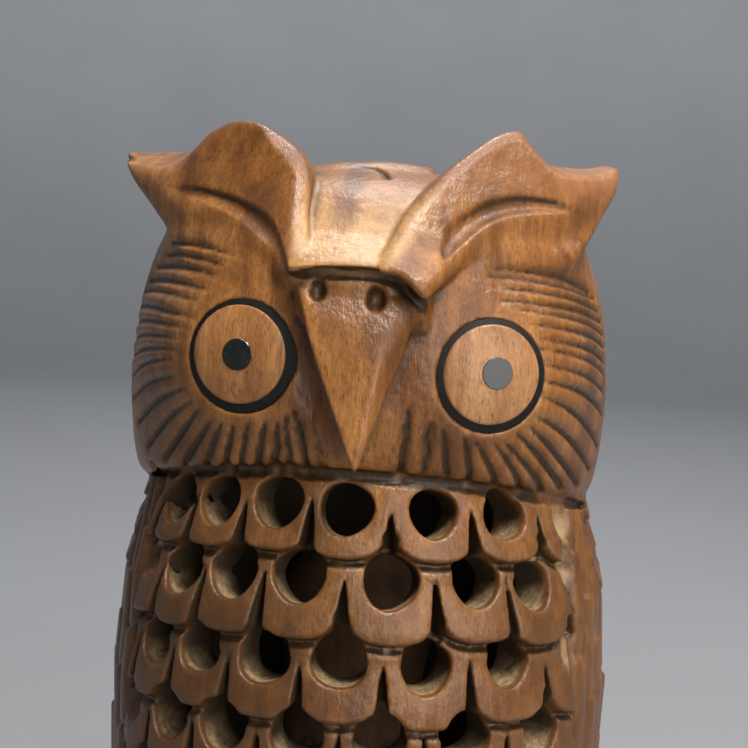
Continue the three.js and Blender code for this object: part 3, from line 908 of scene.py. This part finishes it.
def carve_owl():
    """The whole carving, and the distance to its uncut skin."""
    rng = np.random.default_rng(3)
    rows = lattice(rng)
    field = Field(GRID_LOW, GRID_HIGH, STEP)
    add_body(field, rows)
    field.join(head_blank, *layer(92, 160), 0.3)
    cut_neck(field)
    skin = field.values.copy()
    field.cut(hollow, *layer(10, 112), 0.5)
    cut_lattice(field, rows, rng)
    bare_dimples(field, rows)
    add_base(field)
    add_forehead(field)
    add_ear(field, -1)
    add_ear(field, 1)
    add_beak(field)
    cut_brow(field)
    cut_face(field)
    cut_ears(field)
    rough_cuts(field)
    feather_fans(field)
    crescents(field)
    cut_crown_mark(field)
    cut_sockets(field)
    field.cut(lambda x, y, z: z + 0 * x + 0 * y, *layer(-10, 8), 0)
    field.soften()
    return field, skin


# ---- Meshes -------------------------------------------------------------------------


def new_object(name, mesh):
    obj = bpy.data.objects.new(name, mesh)
    bpy.context.scene.collection.objects.link(obj)
    return obj


def mesh_of_field(field, name, faces):
    """The field's surface as a triangle mesh in metres, thinned where the wood is smooth."""
    grid = openvdb.FloatGrid()
    grid.copyFromArray(np.ascontiguousarray(field.values))
    points, quads = grid.convertToQuads(isovalue=0.0)
    points = (points.astype(np.float64) * field.step + field.low) * MM
    quads = quads.astype(np.int32)
    mesh = bpy.data.meshes.new(name)
    mesh.vertices.add(len(points))
    mesh.vertices.foreach_set("co", points.astype(np.float32).ravel())
    mesh.loops.add(quads.size)
    mesh.loops.foreach_set("vertex_index", quads.ravel())
    mesh.polygons.add(len(quads))
    mesh.polygons.foreach_set("loop_start", np.arange(0, quads.size, 4, dtype=np.int32))
    mesh.update(calc_edges=True)
    obj = new_object(name, mesh)
    keep_largest(obj)
    thin = obj.modifiers.new("thin", "DECIMATE")
    thin.ratio = min(1.0, faces / (2 * len(mesh.polygons)))
    apply_modifiers(obj)
    obj.data.polygons.foreach_set("use_smooth", np.ones(len(obj.data.polygons), bool))
    return obj


def keep_largest(obj):
    """Drops loose chips of wood that the cuts left floating."""
    mesh = obj.data
    count = len(mesh.vertices)
    edges = np.empty(len(mesh.edges) * 2, np.int32)
    mesh.edges.foreach_get("vertices", edges)
    edges = edges.reshape(-1, 2)
    label = np.arange(count)
    while True:
        low = np.minimum(label[edges[:, 0]], label[edges[:, 1]])
        before = label.copy()
        np.minimum.at(label, edges[:, 0], low)
        np.minimum.at(label, edges[:, 1], low)
        label = label[label]
        if np.array_equal(before, label):
            break
    names, sizes = np.unique(label, return_counts=True)
    if len(names) == 1:
        return
    keep = names[np.argmax(sizes)]
    bm = bmesh.new()
    bm.from_mesh(mesh)
    bm.verts.ensure_lookup_table()
    bmesh.ops.delete(bm, geom=[bm.verts[i] for i in np.nonzero(label != keep)[0]], context="VERTS")
    bm.to_mesh(mesh)
    bm.free()


def apply_modifiers(obj):
    """Turns the modified shape into the object's own mesh."""
    depsgraph = bpy.context.evaluated_depsgraph_get()
    mesh = bpy.data.meshes.new_from_object(obj.evaluated_get(depsgraph))
    obj.modifiers.clear()
    old = obj.data
    obj.data = mesh
    bpy.data.meshes.remove(old)


def vertex_places(mesh):
    """All vertices in millimetres."""
    co = np.empty(len(mesh.vertices) * 3, np.float32)
    mesh.vertices.foreach_get("co", co)
    return co.reshape(-1, 3).astype(float) / MM


def mark_carving(obj, field, skin):
    """Stores for each point how deep in a cut or recess it is, with the stain and painted shade marked there
    (red), how worn (green), how far under the skin (blue) and how bare of stain (alpha)."""
    places = vertex_places(obj.data)
    normals = field.slope(places)
    near, far, inward = 0.8, 2.0, 0.7
    cut = 1 - field.sample(places + normals * near) / near
    wide = 1 - field.sample(places + normals * far) / far
    wear = 1 + field.sample(places - normals * inward) / inward
    depth = np.zeros(len(places)) if skin is None else -field.sample(places, skin)
    colours = np.ones((len(places), 4), np.float32)
    ink = field.sample(places, field.ink)
    # red: depth in cuts and recesses and the painted marks, which the material turns into stain and painted
    # shade
    colours[:, 0] = np.clip(np.maximum(np.maximum(cut, 0.75 * wide), ink), 0, 1)
    colours[:, 1] = np.clip(wear, 0, 1)
    colours[:, 2] = np.clip(depth / 8, 0, 1)
    colours[:, 3] = np.clip(-ink, 0, 1)
    layer = obj.data.color_attributes.new("carve", "FLOAT_COLOR", "POINT")
    layer.data.foreach_set("color", colours.ravel())
    obj.data.normals_split_custom_set_from_vertices(normals.astype(np.float32))


def turned_piece(name, profile, side, across, up, sides=96):
    """A turned piece in an eye, as (radius, depth, domed) rings; the domed ones follow the eye's dome."""
    verts, faces, rings = [], [], []
    for radius, depth, domed in profile:
        count = sides if radius > 0 else 1
        rings.append(list(range(len(verts), len(verts) + count)))
        for k in range(count):
            turn = 2 * math.pi * k / sides
            a, u = across + radius * math.cos(turn), up + radius * math.sin(turn)
            out = depth - (a * a + u * u) / (2 * EYE_DOME) if domed else depth
            verts.append(tuple(eye_point(side, a, u, out) * MM))
    closed = profile[0][0] > 0
    for low, high in zip(rings, rings[1:] + (rings[:1] if closed else [])):
        for k in range(sides):
            n = (k + 1) % sides
            if len(low) == 1:
                faces.append((low[0], high[n], high[k]))
            elif len(high) == 1:
                faces.append((low[k], low[n], high[0]))
            else:
                faces.append((low[k], low[n], high[n], high[k]))
    mesh = bpy.data.meshes.new(name)
    mesh.from_pydata(verts, [], faces)
    mesh.update()
    bm = bmesh.new()
    bm.from_mesh(mesh)
    bmesh.ops.recalc_face_normals(bm, faces=bm.faces)
    for edge in bm.edges:
        edge.smooth = len(edge.link_faces) == 2 and edge.calc_face_angle() < math.radians(40)
    for face in bm.faces:
        face.smooth = True
    bm.to_mesh(mesh)
    bm.free()
    return new_object(name, mesh)


def build_eye(side):
    """The ring, the disc inside it and the pupil of one eye, domed like the wood around them."""
    name = "left" if side > 0 else "right"
    inner = 5.3
    ring = [(inner, -2.6, False), (RING_OUTER, -2.6, False)]
    ring += [(r, 0.0, True) for r in np.linspace(RING_OUTER, inner, 9)]
    ring_obj = turned_piece(name + "_eye_ring_inlay", ring, side, 0, 0)
    radius, across, up = (6.2, -0.3, 0.3) if side < 0 else (6.28, 0.05, 0.23)
    disc = [(0, -3.4, False), (radius, -3.4, False), (radius, 0.02, True)]
    disc += [(r, 0.12, True) for r in np.linspace(radius - 0.1, 0, 24)]
    disc_obj = turned_piece(name + "_iris_turned", disc, side, across, up)
    across, up = (-0.16, 0.33) if side < 0 else (0.48, 0.5)
    pupil = [(0, -3, False), (2.0, -3, False), (2.0, 0.16, True), (1.93, 0.22, True), (0, 0.16, True)]
    pupil_obj = turned_piece(name + "_pupil_rod", pupil, side, across, up, 64)
    return ring_obj, disc_obj, pupil_obj


def carve_owlet():
    """The small owl inside, as tall as the box that the CAD gives it."""
    low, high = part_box("inner_owlet")
    floor, top = low.z / MM, high.z / MM
    field = Field((-15, -15, floor - 2), (15, 14, top + 2), OWLET_STEP)
    outline = [(0, 0), (8.8, 0), (9.0, 3), (7, 5.5), (10, 14), (12.6, 27), (12.8, 40), (11.4, 50), (10.4, 54),
               (11.6, 61), (11.2, 69), (7.5, 74.5), (0, 76)]
    shape = turned_profile([(r, h + floor) for r, h in outline])
    spans, x, y, z = field.window((-30, -30, 0), (30, 30, 150))
    field.values[spans] = shape(oval_radius(x, y, 0.95, 0.85), z)
    for side in (-1, 1):
        field.add_bars([(side * 4.0, -2, floor + 72), (side * 7.4, -1, floor + 78)], [2.6, 0.8], 1)
        eye = np.array([side * 4.2, -8.4, floor + 64.5])
        field.join(lambda x, y, z: ellipsoid(x, y, z, eye, (3.2, 1.4, 3.2)), eye - 5, eye + 5, 0.6)
        field.scoop(eye + (0, -1.5, 0), (1.1, 1, 1.1), 0.2)
    field.add_bars([(0, -8.6, floor + 65), (0, -10.4, floor + 59.5)], [1.5, 0.5], 0.5)
    for height in np.arange(8, 52, 5.0):
        for bearing in np.arange(-80, 81, 32) + (16 if int(height) % 2 else 0):
            t = np.radians(np.linspace(-80, 80, 5))
            field.knife_cut(bearing + 14 * np.sin(t), floor + height - 2.2 * np.cos(t), np.full(5, 0.4))
    field.soften()
    return field


# ---- Materials ----------------------------------------------------------------------


class Nodes:
    """A short way to build a node tree."""

    def __init__(self, name):
        self.material = bpy.data.materials.new(name)
        self.material.use_nodes = True
        self.tree = self.material.node_tree
        self.shader = self.tree.nodes["Principled BSDF"]

    def add(self, kind, settings=None, **inputs):
        node = self.tree.nodes.new(kind)
        for key, value in (settings or {}).items():
            setattr(node, key, value)
        for key, value in inputs.items():
            self.set(node, key.replace("_", " "), value)
        return node

    def set(self, node, key, value):
        if isinstance(value, bpy.types.NodeSocket):
            self.tree.links.new(value, node.inputs[key])
        else:
            node.inputs[key].default_value = value

    def surface(self, **inputs):
        for key, value in inputs.items():
            self.set(self.shader, key.replace("_", " "), value)

    def combine(self, kind, operation, values):
        node = self.add(kind, {"operation": operation})
        for key, value in enumerate(values):
            self.set(node, key, value)
        return node.outputs[0]

    def math(self, operation, *values):
        return self.combine("ShaderNodeMath", operation, values)

    def times(self, *values):
        return self.math("MULTIPLY", *values)

    def plus(self, *values):
        return self.math("ADD", *values)

    def mix(self, factor, a, b, blend="MIX"):
        node = self.add("ShaderNodeMix", {"data_type": "RGBA", "blend_type": blend})
        for socket, value in ((0, factor), (6, a), (7, b)):
            self.set(node, socket, value)
        return node.outputs[2]

    def ramp(self, value, stops):
        node = self.add("ShaderNodeValToRGB")
        self.set(node, 0, value)
        elements = node.color_ramp.elements
        while len(elements) < len(stops):
            elements.new(0.5)
        for element, (place, colour) in zip(elements, stops):
            element.position = place
            element.color = colour
        return node.outputs[0]

    def noise(self, vector, scale, detail=3.0, rough=0.55, distortion=0.0):
        return self.add("ShaderNodeTexNoise", Vector=vector, Scale=scale, Detail=detail, Roughness=rough,
                        Distortion=distortion).outputs[0]

    def grain(self, place, upright, *noise):
        """Noise drawn out along the height: the smaller `upright`, the longer."""
        return self.noise(self.combine("ShaderNodeVectorMath", "MULTIPLY", (place, (1, 1, upright))), *noise)

    def places(self):
        return self.add("ShaderNodeTexCoord").outputs["Object"]

    def millimetres(self, seed):
        """Places in millimetres, moved along so that two woods differ."""
        scaled = self.combine("ShaderNodeVectorMath", "MULTIPLY", (self.places(), (1 / MM, 1 / MM, 1 / MM)))
        return self.combine("ShaderNodeVectorMath", "ADD", (scaled, (seed, seed * 1.7, seed * 0.6)))

    def axes(self, vector):
        return self.add("ShaderNodeSeparateXYZ", Vector=vector).outputs

    def range(self, value, low, high):
        """From 0 at `low` to 1 at `high`, and no further."""
        node = self.add("ShaderNodeMapRange")
        for key, number in enumerate((value, low, high)):
            self.set(node, key, number)
        return node.outputs[0]

    def bump(self, height, strength, distance):
        return self.add("ShaderNodeBump", Height=height, Strength=strength, Distance=distance).outputs[0]


# dark stain colour: real stain in pores and grime, and painted shade in cuts and recesses
STAIN_AND_SHADE = (0.034, 0.019, 0.008, 1)
# a duller, darker brown for the body
BODY_DULL_BROWN = (0.13, 0.052, 0.017, 1)
# painted shade colour for the front of the body's flanks
FLANK_PAINTED_SHADE = (0.055, 0.024, 0.009, 1)
RAW_WOOD = [(0.3, (0.12, 0.075, 0.038, 1)), (0.5, (0.27, 0.18, 0.095, 1)), (0.72, (0.42, 0.31, 0.17, 1))]
SHADED_RAW_WOOD = (0.045, 0.029, 0.015, 1)
GOUGED_WOOD = (0.31, 0.21, 0.11, 1)
# painted shade colour for the inside of the hollow
HOLLOW_PAINTED_SHADE = (0.075, 0.05, 0.028, 1)
SAPWOOD = (0.52, 0.31, 0.13, 1)
STREAK = (0.13, 0.055, 0.03, 1)
CROWN_WOOD = (0.33, 0.14, 0.055, 1)
TOPS_TINT = (0.70, 0.64, 0.52, 1)
HEAD_FOOT = 106.0  # height where the head's looks end in front


def srgb(*levels):
    """A colour given as 0 to 255 on screen, as linear light."""
    shares = [level / 255 for level in levels]
    return tuple(c / 12.92 if c <= 0.04045 else ((c + 0.055) / 1.055) ** 2.4 for c in shares) + (1,)


def wood(name, dark, mid, light, carved=True, coat=0.27, gloss=0.4, seed=0.0):
    """Stained and varnished hardwood whose fibres run up the owl. Noise scales are per millimetre."""
    n = Nodes(name)
    place = n.millimetres(seed)
    blotch = n.grain(place, 0.5, 0.085, 3, 0.5)
    bands = n.grain(place, 0.07, 0.3, 3, 0.55, 0.7)
    fibre = n.grain(place, 0.09, 2.4, 4, 0.65)
    hair = n.grain(place, 0.2, 6.5, 2, 0.6)
    pores = n.grain(place, 0.13, 4.0, 1, 0.5)
    mottle = n.grain(place, 0.6, 0.55, 4, 0.65)
    tone = n.plus(n.times(blotch, 0.5), n.times(bands, 0.5))
    colour = n.ramp(tone, [(0.38, dark), (0.5, mid), (0.63, light)])
    colour = n.mix(n.times(n.range(fibre, 0.62, 0.36), 0.45), colour, dark)
    colour = n.mix(n.times(n.range(hair, 0.45, 0.75), 0.2), colour, light)
    colour = n.mix(n.times(n.range(pores, 0.60, 0.70), 0.45), colour, STAIN_AND_SHADE)
    roughness = n.plus(n.times(fibre, 0.3), gloss - 0.15)
    if carved:
        colour = sapwood(n, place, colour, mottle)
        colour, bare_share, dull = carved_looks(n, place, colour, mottle, dark, light)
        roughness = n.mix(bare_share, roughness, (0.8, 0.8, 0.8, 1))
        coat = n.times(n.math("SUBTRACT", 1.0, dull), coat)
    tool = n.noise(place, 0.4, 2, 0.5)
    chatter = n.grain(place, 0.7, 1.4, 3, 0.6)
    fine = n.plus(n.times(hair, 0.35), n.times(chatter, 0.9))
    height = n.plus(n.plus(n.times(fibre, 0.7), n.times(tool, 2.4)), fine)
    normal = n.bump(height, 0.7, 0.00013)
    n.surface(Base_Color=colour, Roughness=roughness, Normal=normal, Coat_Weight=coat, Coat_Normal=normal,
              Coat_Roughness=n.plus(n.times(mottle, 0.16), 0.08), Specular_IOR_Level=0.25)
    return n.material


def carved_looks(n, place, colour, mottle, dark, light):
    """Wear on the edges, stain and painted shade in the cuts, painted shade on the body's front flanks and
    inside the hollow, and raw wood in the holes, led by the mesh's `carve` colours.

    Gives the colour, the share of raw wood in the holes and the share of varnish missing.
    """
    carve = n.add("ShaderNodeAttribute", {"attribute_name": "carve"}).outputs
    cut, wear, depth = n.add("ShaderNodeSeparateColor", Color=carve["Color"]).outputs
    x, y, z = n.axes(place)
    worn = n.times(n.range(wear, 0.3, 0.9), n.range(mottle, 0.35, 0.6))
    colour = n.mix(n.times(worn, 0.75), colour, light)
    body = n.range(z, HEAD_FOOT, HEAD_FOOT - 8)  # none on the head, all of it on the body
    # painted shade on the front of the body below the head: strong towards -X, lighter towards +X
    shade_sides = n.math("MAXIMUM", n.times(n.range(x, 8, -14), 0.87), n.times(n.range(x, 6, 22), 0.45))
    shaded = n.times(n.times(shade_sides, n.range(z, HEAD_FOOT + 6, HEAD_FOOT - 20)), n.range(y, 12, -8))
    colour = n.mix(shaded, colour, FLANK_PAINTED_SHADE)
    # a duller, darker brown mixed over the whole body
    colour = n.mix(n.times(body, 0.26), colour, BODY_DULL_BROWN)
    speckle = n.range(n.grain(place, 0.6, 2.1, 4, 0.75), 0.52, 0.7)
    colour = n.mix(n.times(speckle, 0.35), colour, dark)
    grime = n.times(n.range(mottle, 0.75, 0.4), n.plus(n.times(body, 0.2), 0.22))
    colour = n.mix(grime, colour, STAIN_AND_SHADE)
    # stain gathered in the cuts plus painted shade in cuts, creases and recesses, led by the red channel
    stain = n.math("MINIMUM", n.times(n.range(cut, 0.2, 0.62), n.plus(n.times(mottle, 0.4), 0.75)), 1.0)
    colour = n.mix(stain, colour, STAIN_AND_SHADE)
    raw_share = n.times(n.range(depth, 0.10, 0.2), n.range(z, HEAD_FOOT, HEAD_FOOT - 3))
    raw = n.ramp(n.grain(place, 0.5, 1.5, 4, 0.7), RAW_WOOD)
    facing_up = n.axes(n.add("ShaderNodeNewGeometry").outputs["Normal"])[2]
    raw = n.mix(n.range(facing_up, 0.85, 0.15), raw, SHADED_RAW_WOOD)
    colour = n.mix(raw_share, colour, raw)
    bare = n.times(carve["Alpha"], n.range(mottle, 0.25, 0.5))
    colour = n.mix(bare, colour, GOUGED_WOOD)
    # painted shade over the inside of the hollow, a few millimetres under the skin
    colour = n.mix(n.range(depth, 0.5, 0.72), colour, HOLLOW_PAINTED_SHADE)
    dull = n.math("MAXIMUM", n.math("MAXIMUM", raw_share, bare), n.times(stain, 0.8))
    return colour, raw_share, dull


def sapwood(n, place, colour, mottle):
    """Pale yellow wood over the forehead, a darker streak through it, a redder crown and dimmed ear tops."""
    x, _, z = n.axes(place)
    edge = n.math("SUBTRACT", x, n.times(n.math("SUBTRACT", z, 130), 0.62))
    between = n.times(n.range(x, -10.5, -8.5), n.range(edge, 3.2, 1.6))
    patch = n.times(n.times(between, n.range(z, 127, 132)), n.range(mottle, 0.1, 0.5))
    patch = n.times(patch, n.math("SUBTRACT", 0.7, n.times(n.range(z, 136, 142), 0.55)))
    colour = n.mix(patch, colour, SAPWOOD)
    lean = n.plus(n.times(z, -0.12), n.plus(n.times(mottle, 3), 18.5))
    streak = n.times(n.range(n.math("ABSOLUTE", n.plus(x, lean)), 2.4, 0.5), n.range(z, 133, 138))
    colour = n.mix(n.times(streak, 0.85), colour, STREAK)
    crown = n.times(n.range(z, 139.5, 142.5), n.range(x, -1.0, 1.5))
    colour = n.mix(n.times(crown, 0.7), colour, CROWN_WOOD)
    tops = n.times(n.range(z, 137, 142), n.range(n.math("ABSOLUTE", x), 28, 22))
    return n.mix(tops, colour, TOPS_TINT, "MULTIPLY")


def black_inlay(name, tint, rough, coat):
    """Polished black horn or resin with faint scratches."""
    n = Nodes(name)
    cloud = n.noise(n.places(), 900.0, 4, 0.6)
    scratch = n.noise(n.places(), 5200.0, 2, 0.5)
    brighter = tuple(c * 1.9 + 0.002 for c in tint[:3]) + (1,)
    n.surface(Base_Color=n.ramp(cloud, [(0.35, tint), (0.7, brighter)]), Coat_Weight=coat, Coat_Roughness=0.1,
              Roughness=n.plus(n.times(cloud, 0.18), rough), Normal=n.bump(scratch, 0.25, 0.00002),
              Specular_IOR_Level=0.25)
    return n.material


def give(obj, material, node):
    """Makes a piece, in one material, the stand-in for one CAD node."""
    obj.data.materials.clear()
    obj.data.materials.append(material)
    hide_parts(node)
    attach(obj, "root")


# ---- Studio -------------------------------------------------------------------------


def plain_material(name, below, colour, roughness):
    """A plain colour that goes over into `below` towards the ground."""
    n = Nodes(name)
    soft = n.noise(n.places(), 6.0, 3, 0.5)
    colour = n.mix(n.range(n.axes(n.places())[2], 0.0, 0.9), below, colour)
    n.surface(Base_Color=n.mix(n.times(soft, 0.2), colour, (0.1, 0.1, 0.1, 1)), Roughness=roughness)
    return n.material


def build_floor():
    """A round floor that curves up into a plain wall all the way round the owl."""
    reach, curve, rise, sides = 1.9, 0.7, 2.2, 64
    profile = [(reach * share, 0.0) for share in (0.15, 0.4, 0.63)]
    for k in range(13):
        a = math.pi / 2 * k / 12
        profile.append((reach - curve + curve * math.sin(a), curve - curve * math.cos(a)))
    profile.append((reach, rise))
    verts = [(0, 0, 0)]
    for radius, height in profile:
        turns = np.arange(sides) * 2 * math.pi / sides
        verts += [(radius * math.cos(t), radius * math.sin(t), height) for t in turns]
    faces = [(0, 1 + k, 1 + (k + 1) % sides) for k in range(sides)]
    for ring in range(len(profile) - 1):
        low, high = 1 + ring * sides, 1 + (ring + 1) * sides
        faces += [(low + k, high + k, high + (k + 1) % sides, low + (k + 1) % sides) for k in range(sides)]
    mesh = bpy.data.meshes.new("studio_floor")
    mesh.from_pydata(verts, [], faces)
    mesh.update()
    for poly in mesh.polygons:
        poly.use_smooth = True
    floor = new_object("studio_floor", mesh)
    mesh.materials.append(plain_material("pale_floor", srgb(132, 134, 137), srgb(205, 207, 211), 0.85))


FACE_MIDDLE = (0, 0, 0.118)  # in metres, like everything in the studio


def direction(bearing, elevation):
    """Which way a bearing and an elevation point, both in radians."""
    flat = math.cos(elevation)
    return Vector((math.sin(bearing) * flat, -math.cos(bearing) * flat, math.sin(elevation)))


def area_light(name, place, target, size, power, colour):
    """A round soft light that looks at its target."""
    data = bpy.data.lights.new(name, "AREA")
    data.shape = "DISK"
    data.size = size
    data.energy = power
    data.color = colour
    obj = bpy.data.objects.new(name, data)
    bpy.context.scene.collection.objects.link(obj)
    obj.location = place
    obj.rotation_euler = (Vector(target) - Vector(place)).to_track_quat("-Z", "Y").to_euler()


def polar(bearing, elevation, distance):
    """A place round the owl's head, by bearing from the front towards +X and elevation."""
    return Vector(FACE_MIDDLE) + distance * direction(math.radians(bearing), math.radians(elevation))


def light_studio():
    """A window in front, a small warm ceiling light, two lamps for the highlights, and fill from the room."""
    world = bpy.data.worlds.new("studio")
    bpy.context.scene.world = world
    world.use_nodes = True
    sky = world.node_tree.nodes["Background"].inputs
    sky[0].default_value = (0.86, 0.92, 1.0, 1)
    sky[1].default_value = 0.135
    daylight = (1.0, 0.98, 0.95)
    cool = (0.97, 0.98, 1.0)
    area_light("window", polar(29, 12, 0.62), FACE_MIDDLE, 0.5, 2.65, daylight)
    area_light("ceiling", polar(32, 58, 0.55), FACE_MIDDLE, 0.16, 3.7, (1.0, 0.96, 0.9))
    area_light("lamp_behind", polar(-177, 61, 0.9), FACE_MIDDLE, 0.07, 2.4, daylight)
    area_light("lamp_beside", polar(98, 49, 0.9), FACE_MIDDLE, 0.05, 1.4, daylight)
    area_light("room", (0.38, 0.62, 1.75), FACE_MIDDLE, 1.1, 9.0, cool)
    area_light("wall", (0.0, -0.2, 1.7), (0, 1.9, 0.6), 0.8, 15.0, cool)


def place_camera():
    """A close phone-like camera, level with the face and tipped a little."""
    azimuth, elevation, roll = math.radians(1), math.radians(5), math.radians(3)
    distance, across_frame = 0.170, 0.1122
    target = Vector((0.0007, 0, 0.11484))
    back = direction(azimuth, elevation)
    right = (-back).cross(Vector((0, 0, 1))).normalized()
    up = right.cross(-back)
    tipped_right = right * math.cos(roll) + up * math.sin(roll)
    tipped_up = up * math.cos(roll) - right * math.sin(roll)
    data = bpy.data.cameras.new("camera")
    data.sensor_width = 36
    data.lens = 36 * distance / across_frame
    data.clip_start = 0.01
    camera = bpy.data.objects.new("camera", data)
    bpy.context.scene.collection.objects.link(camera)
    place = Matrix((tipped_right, tipped_up, back)).transposed().to_4x4()
    place.translation = target + back * distance
    camera.matrix_world = place
    bpy.context.scene.camera = camera


# ---- Assembly -----------------------------------------------------------------------

varnished = wood("varnished_wood", (0.125, 0.044, 0.011, 1), (0.285, 0.108, 0.025, 1), (0.43, 0.19, 0.052, 1))
# the owlet's wood is darker than the outside wood: painted shade for its place inside the body
inner_wood = wood("inner_wood", (0.05, 0.028, 0.014, 1), (0.11, 0.062, 0.03, 1), (0.17, 0.10, 0.052, 1),
                  coat=0.0, gloss=0.7, seed=31.0)
# the owl's right iris is a darker copy of the iris wood: painted shade for the side away from the light
iris_wood = {
    -1: wood("right_iris_shaded_wood", (0.15, 0.055, 0.017, 1), (0.29, 0.12, 0.036, 1), (0.40, 0.19, 0.065, 1),
             carved=False, seed=12.0),
    1: wood("left_iris_wood", (0.20, 0.085, 0.032, 1), (0.36, 0.165, 0.062, 1), (0.46, 0.24, 0.10, 1),
            carved=False, seed=57.0),
}
ring_black = black_inlay("black_inlay", (0.0035, 0.0032, 0.0028, 1), 0.45, 0.0)
pupil_black = black_inlay("black_pupil", (0.008, 0.009, 0.009, 1), 0.18, 0.5)

field, skin = carve_owl()
owl = mesh_of_field(field, "owl_block_carved", FACES)
mark_carving(owl, field, skin)
give(owl, varnished, "carved_owl_body")

owlet_field = carve_owlet()
owlet = mesh_of_field(owlet_field, "owlet_carved", OWLET_FACES)
mark_carving(owlet, owlet_field, None)
give(owlet, inner_wood, "inner_owlet")

for side in (-1, 1):
    name = "left" if side > 0 else "right"
    ring, disc, pupil = build_eye(side)
    give(ring, ring_black, name + "_eye_ring")
    give(disc, iris_wood[side], name + "_iris_disc")
    give(pupil, pupil_black, name + "_pupil")

build_floor()
light_studio()
place_camera()
bpy.context.scene.view_settings.view_transform = "Standard"
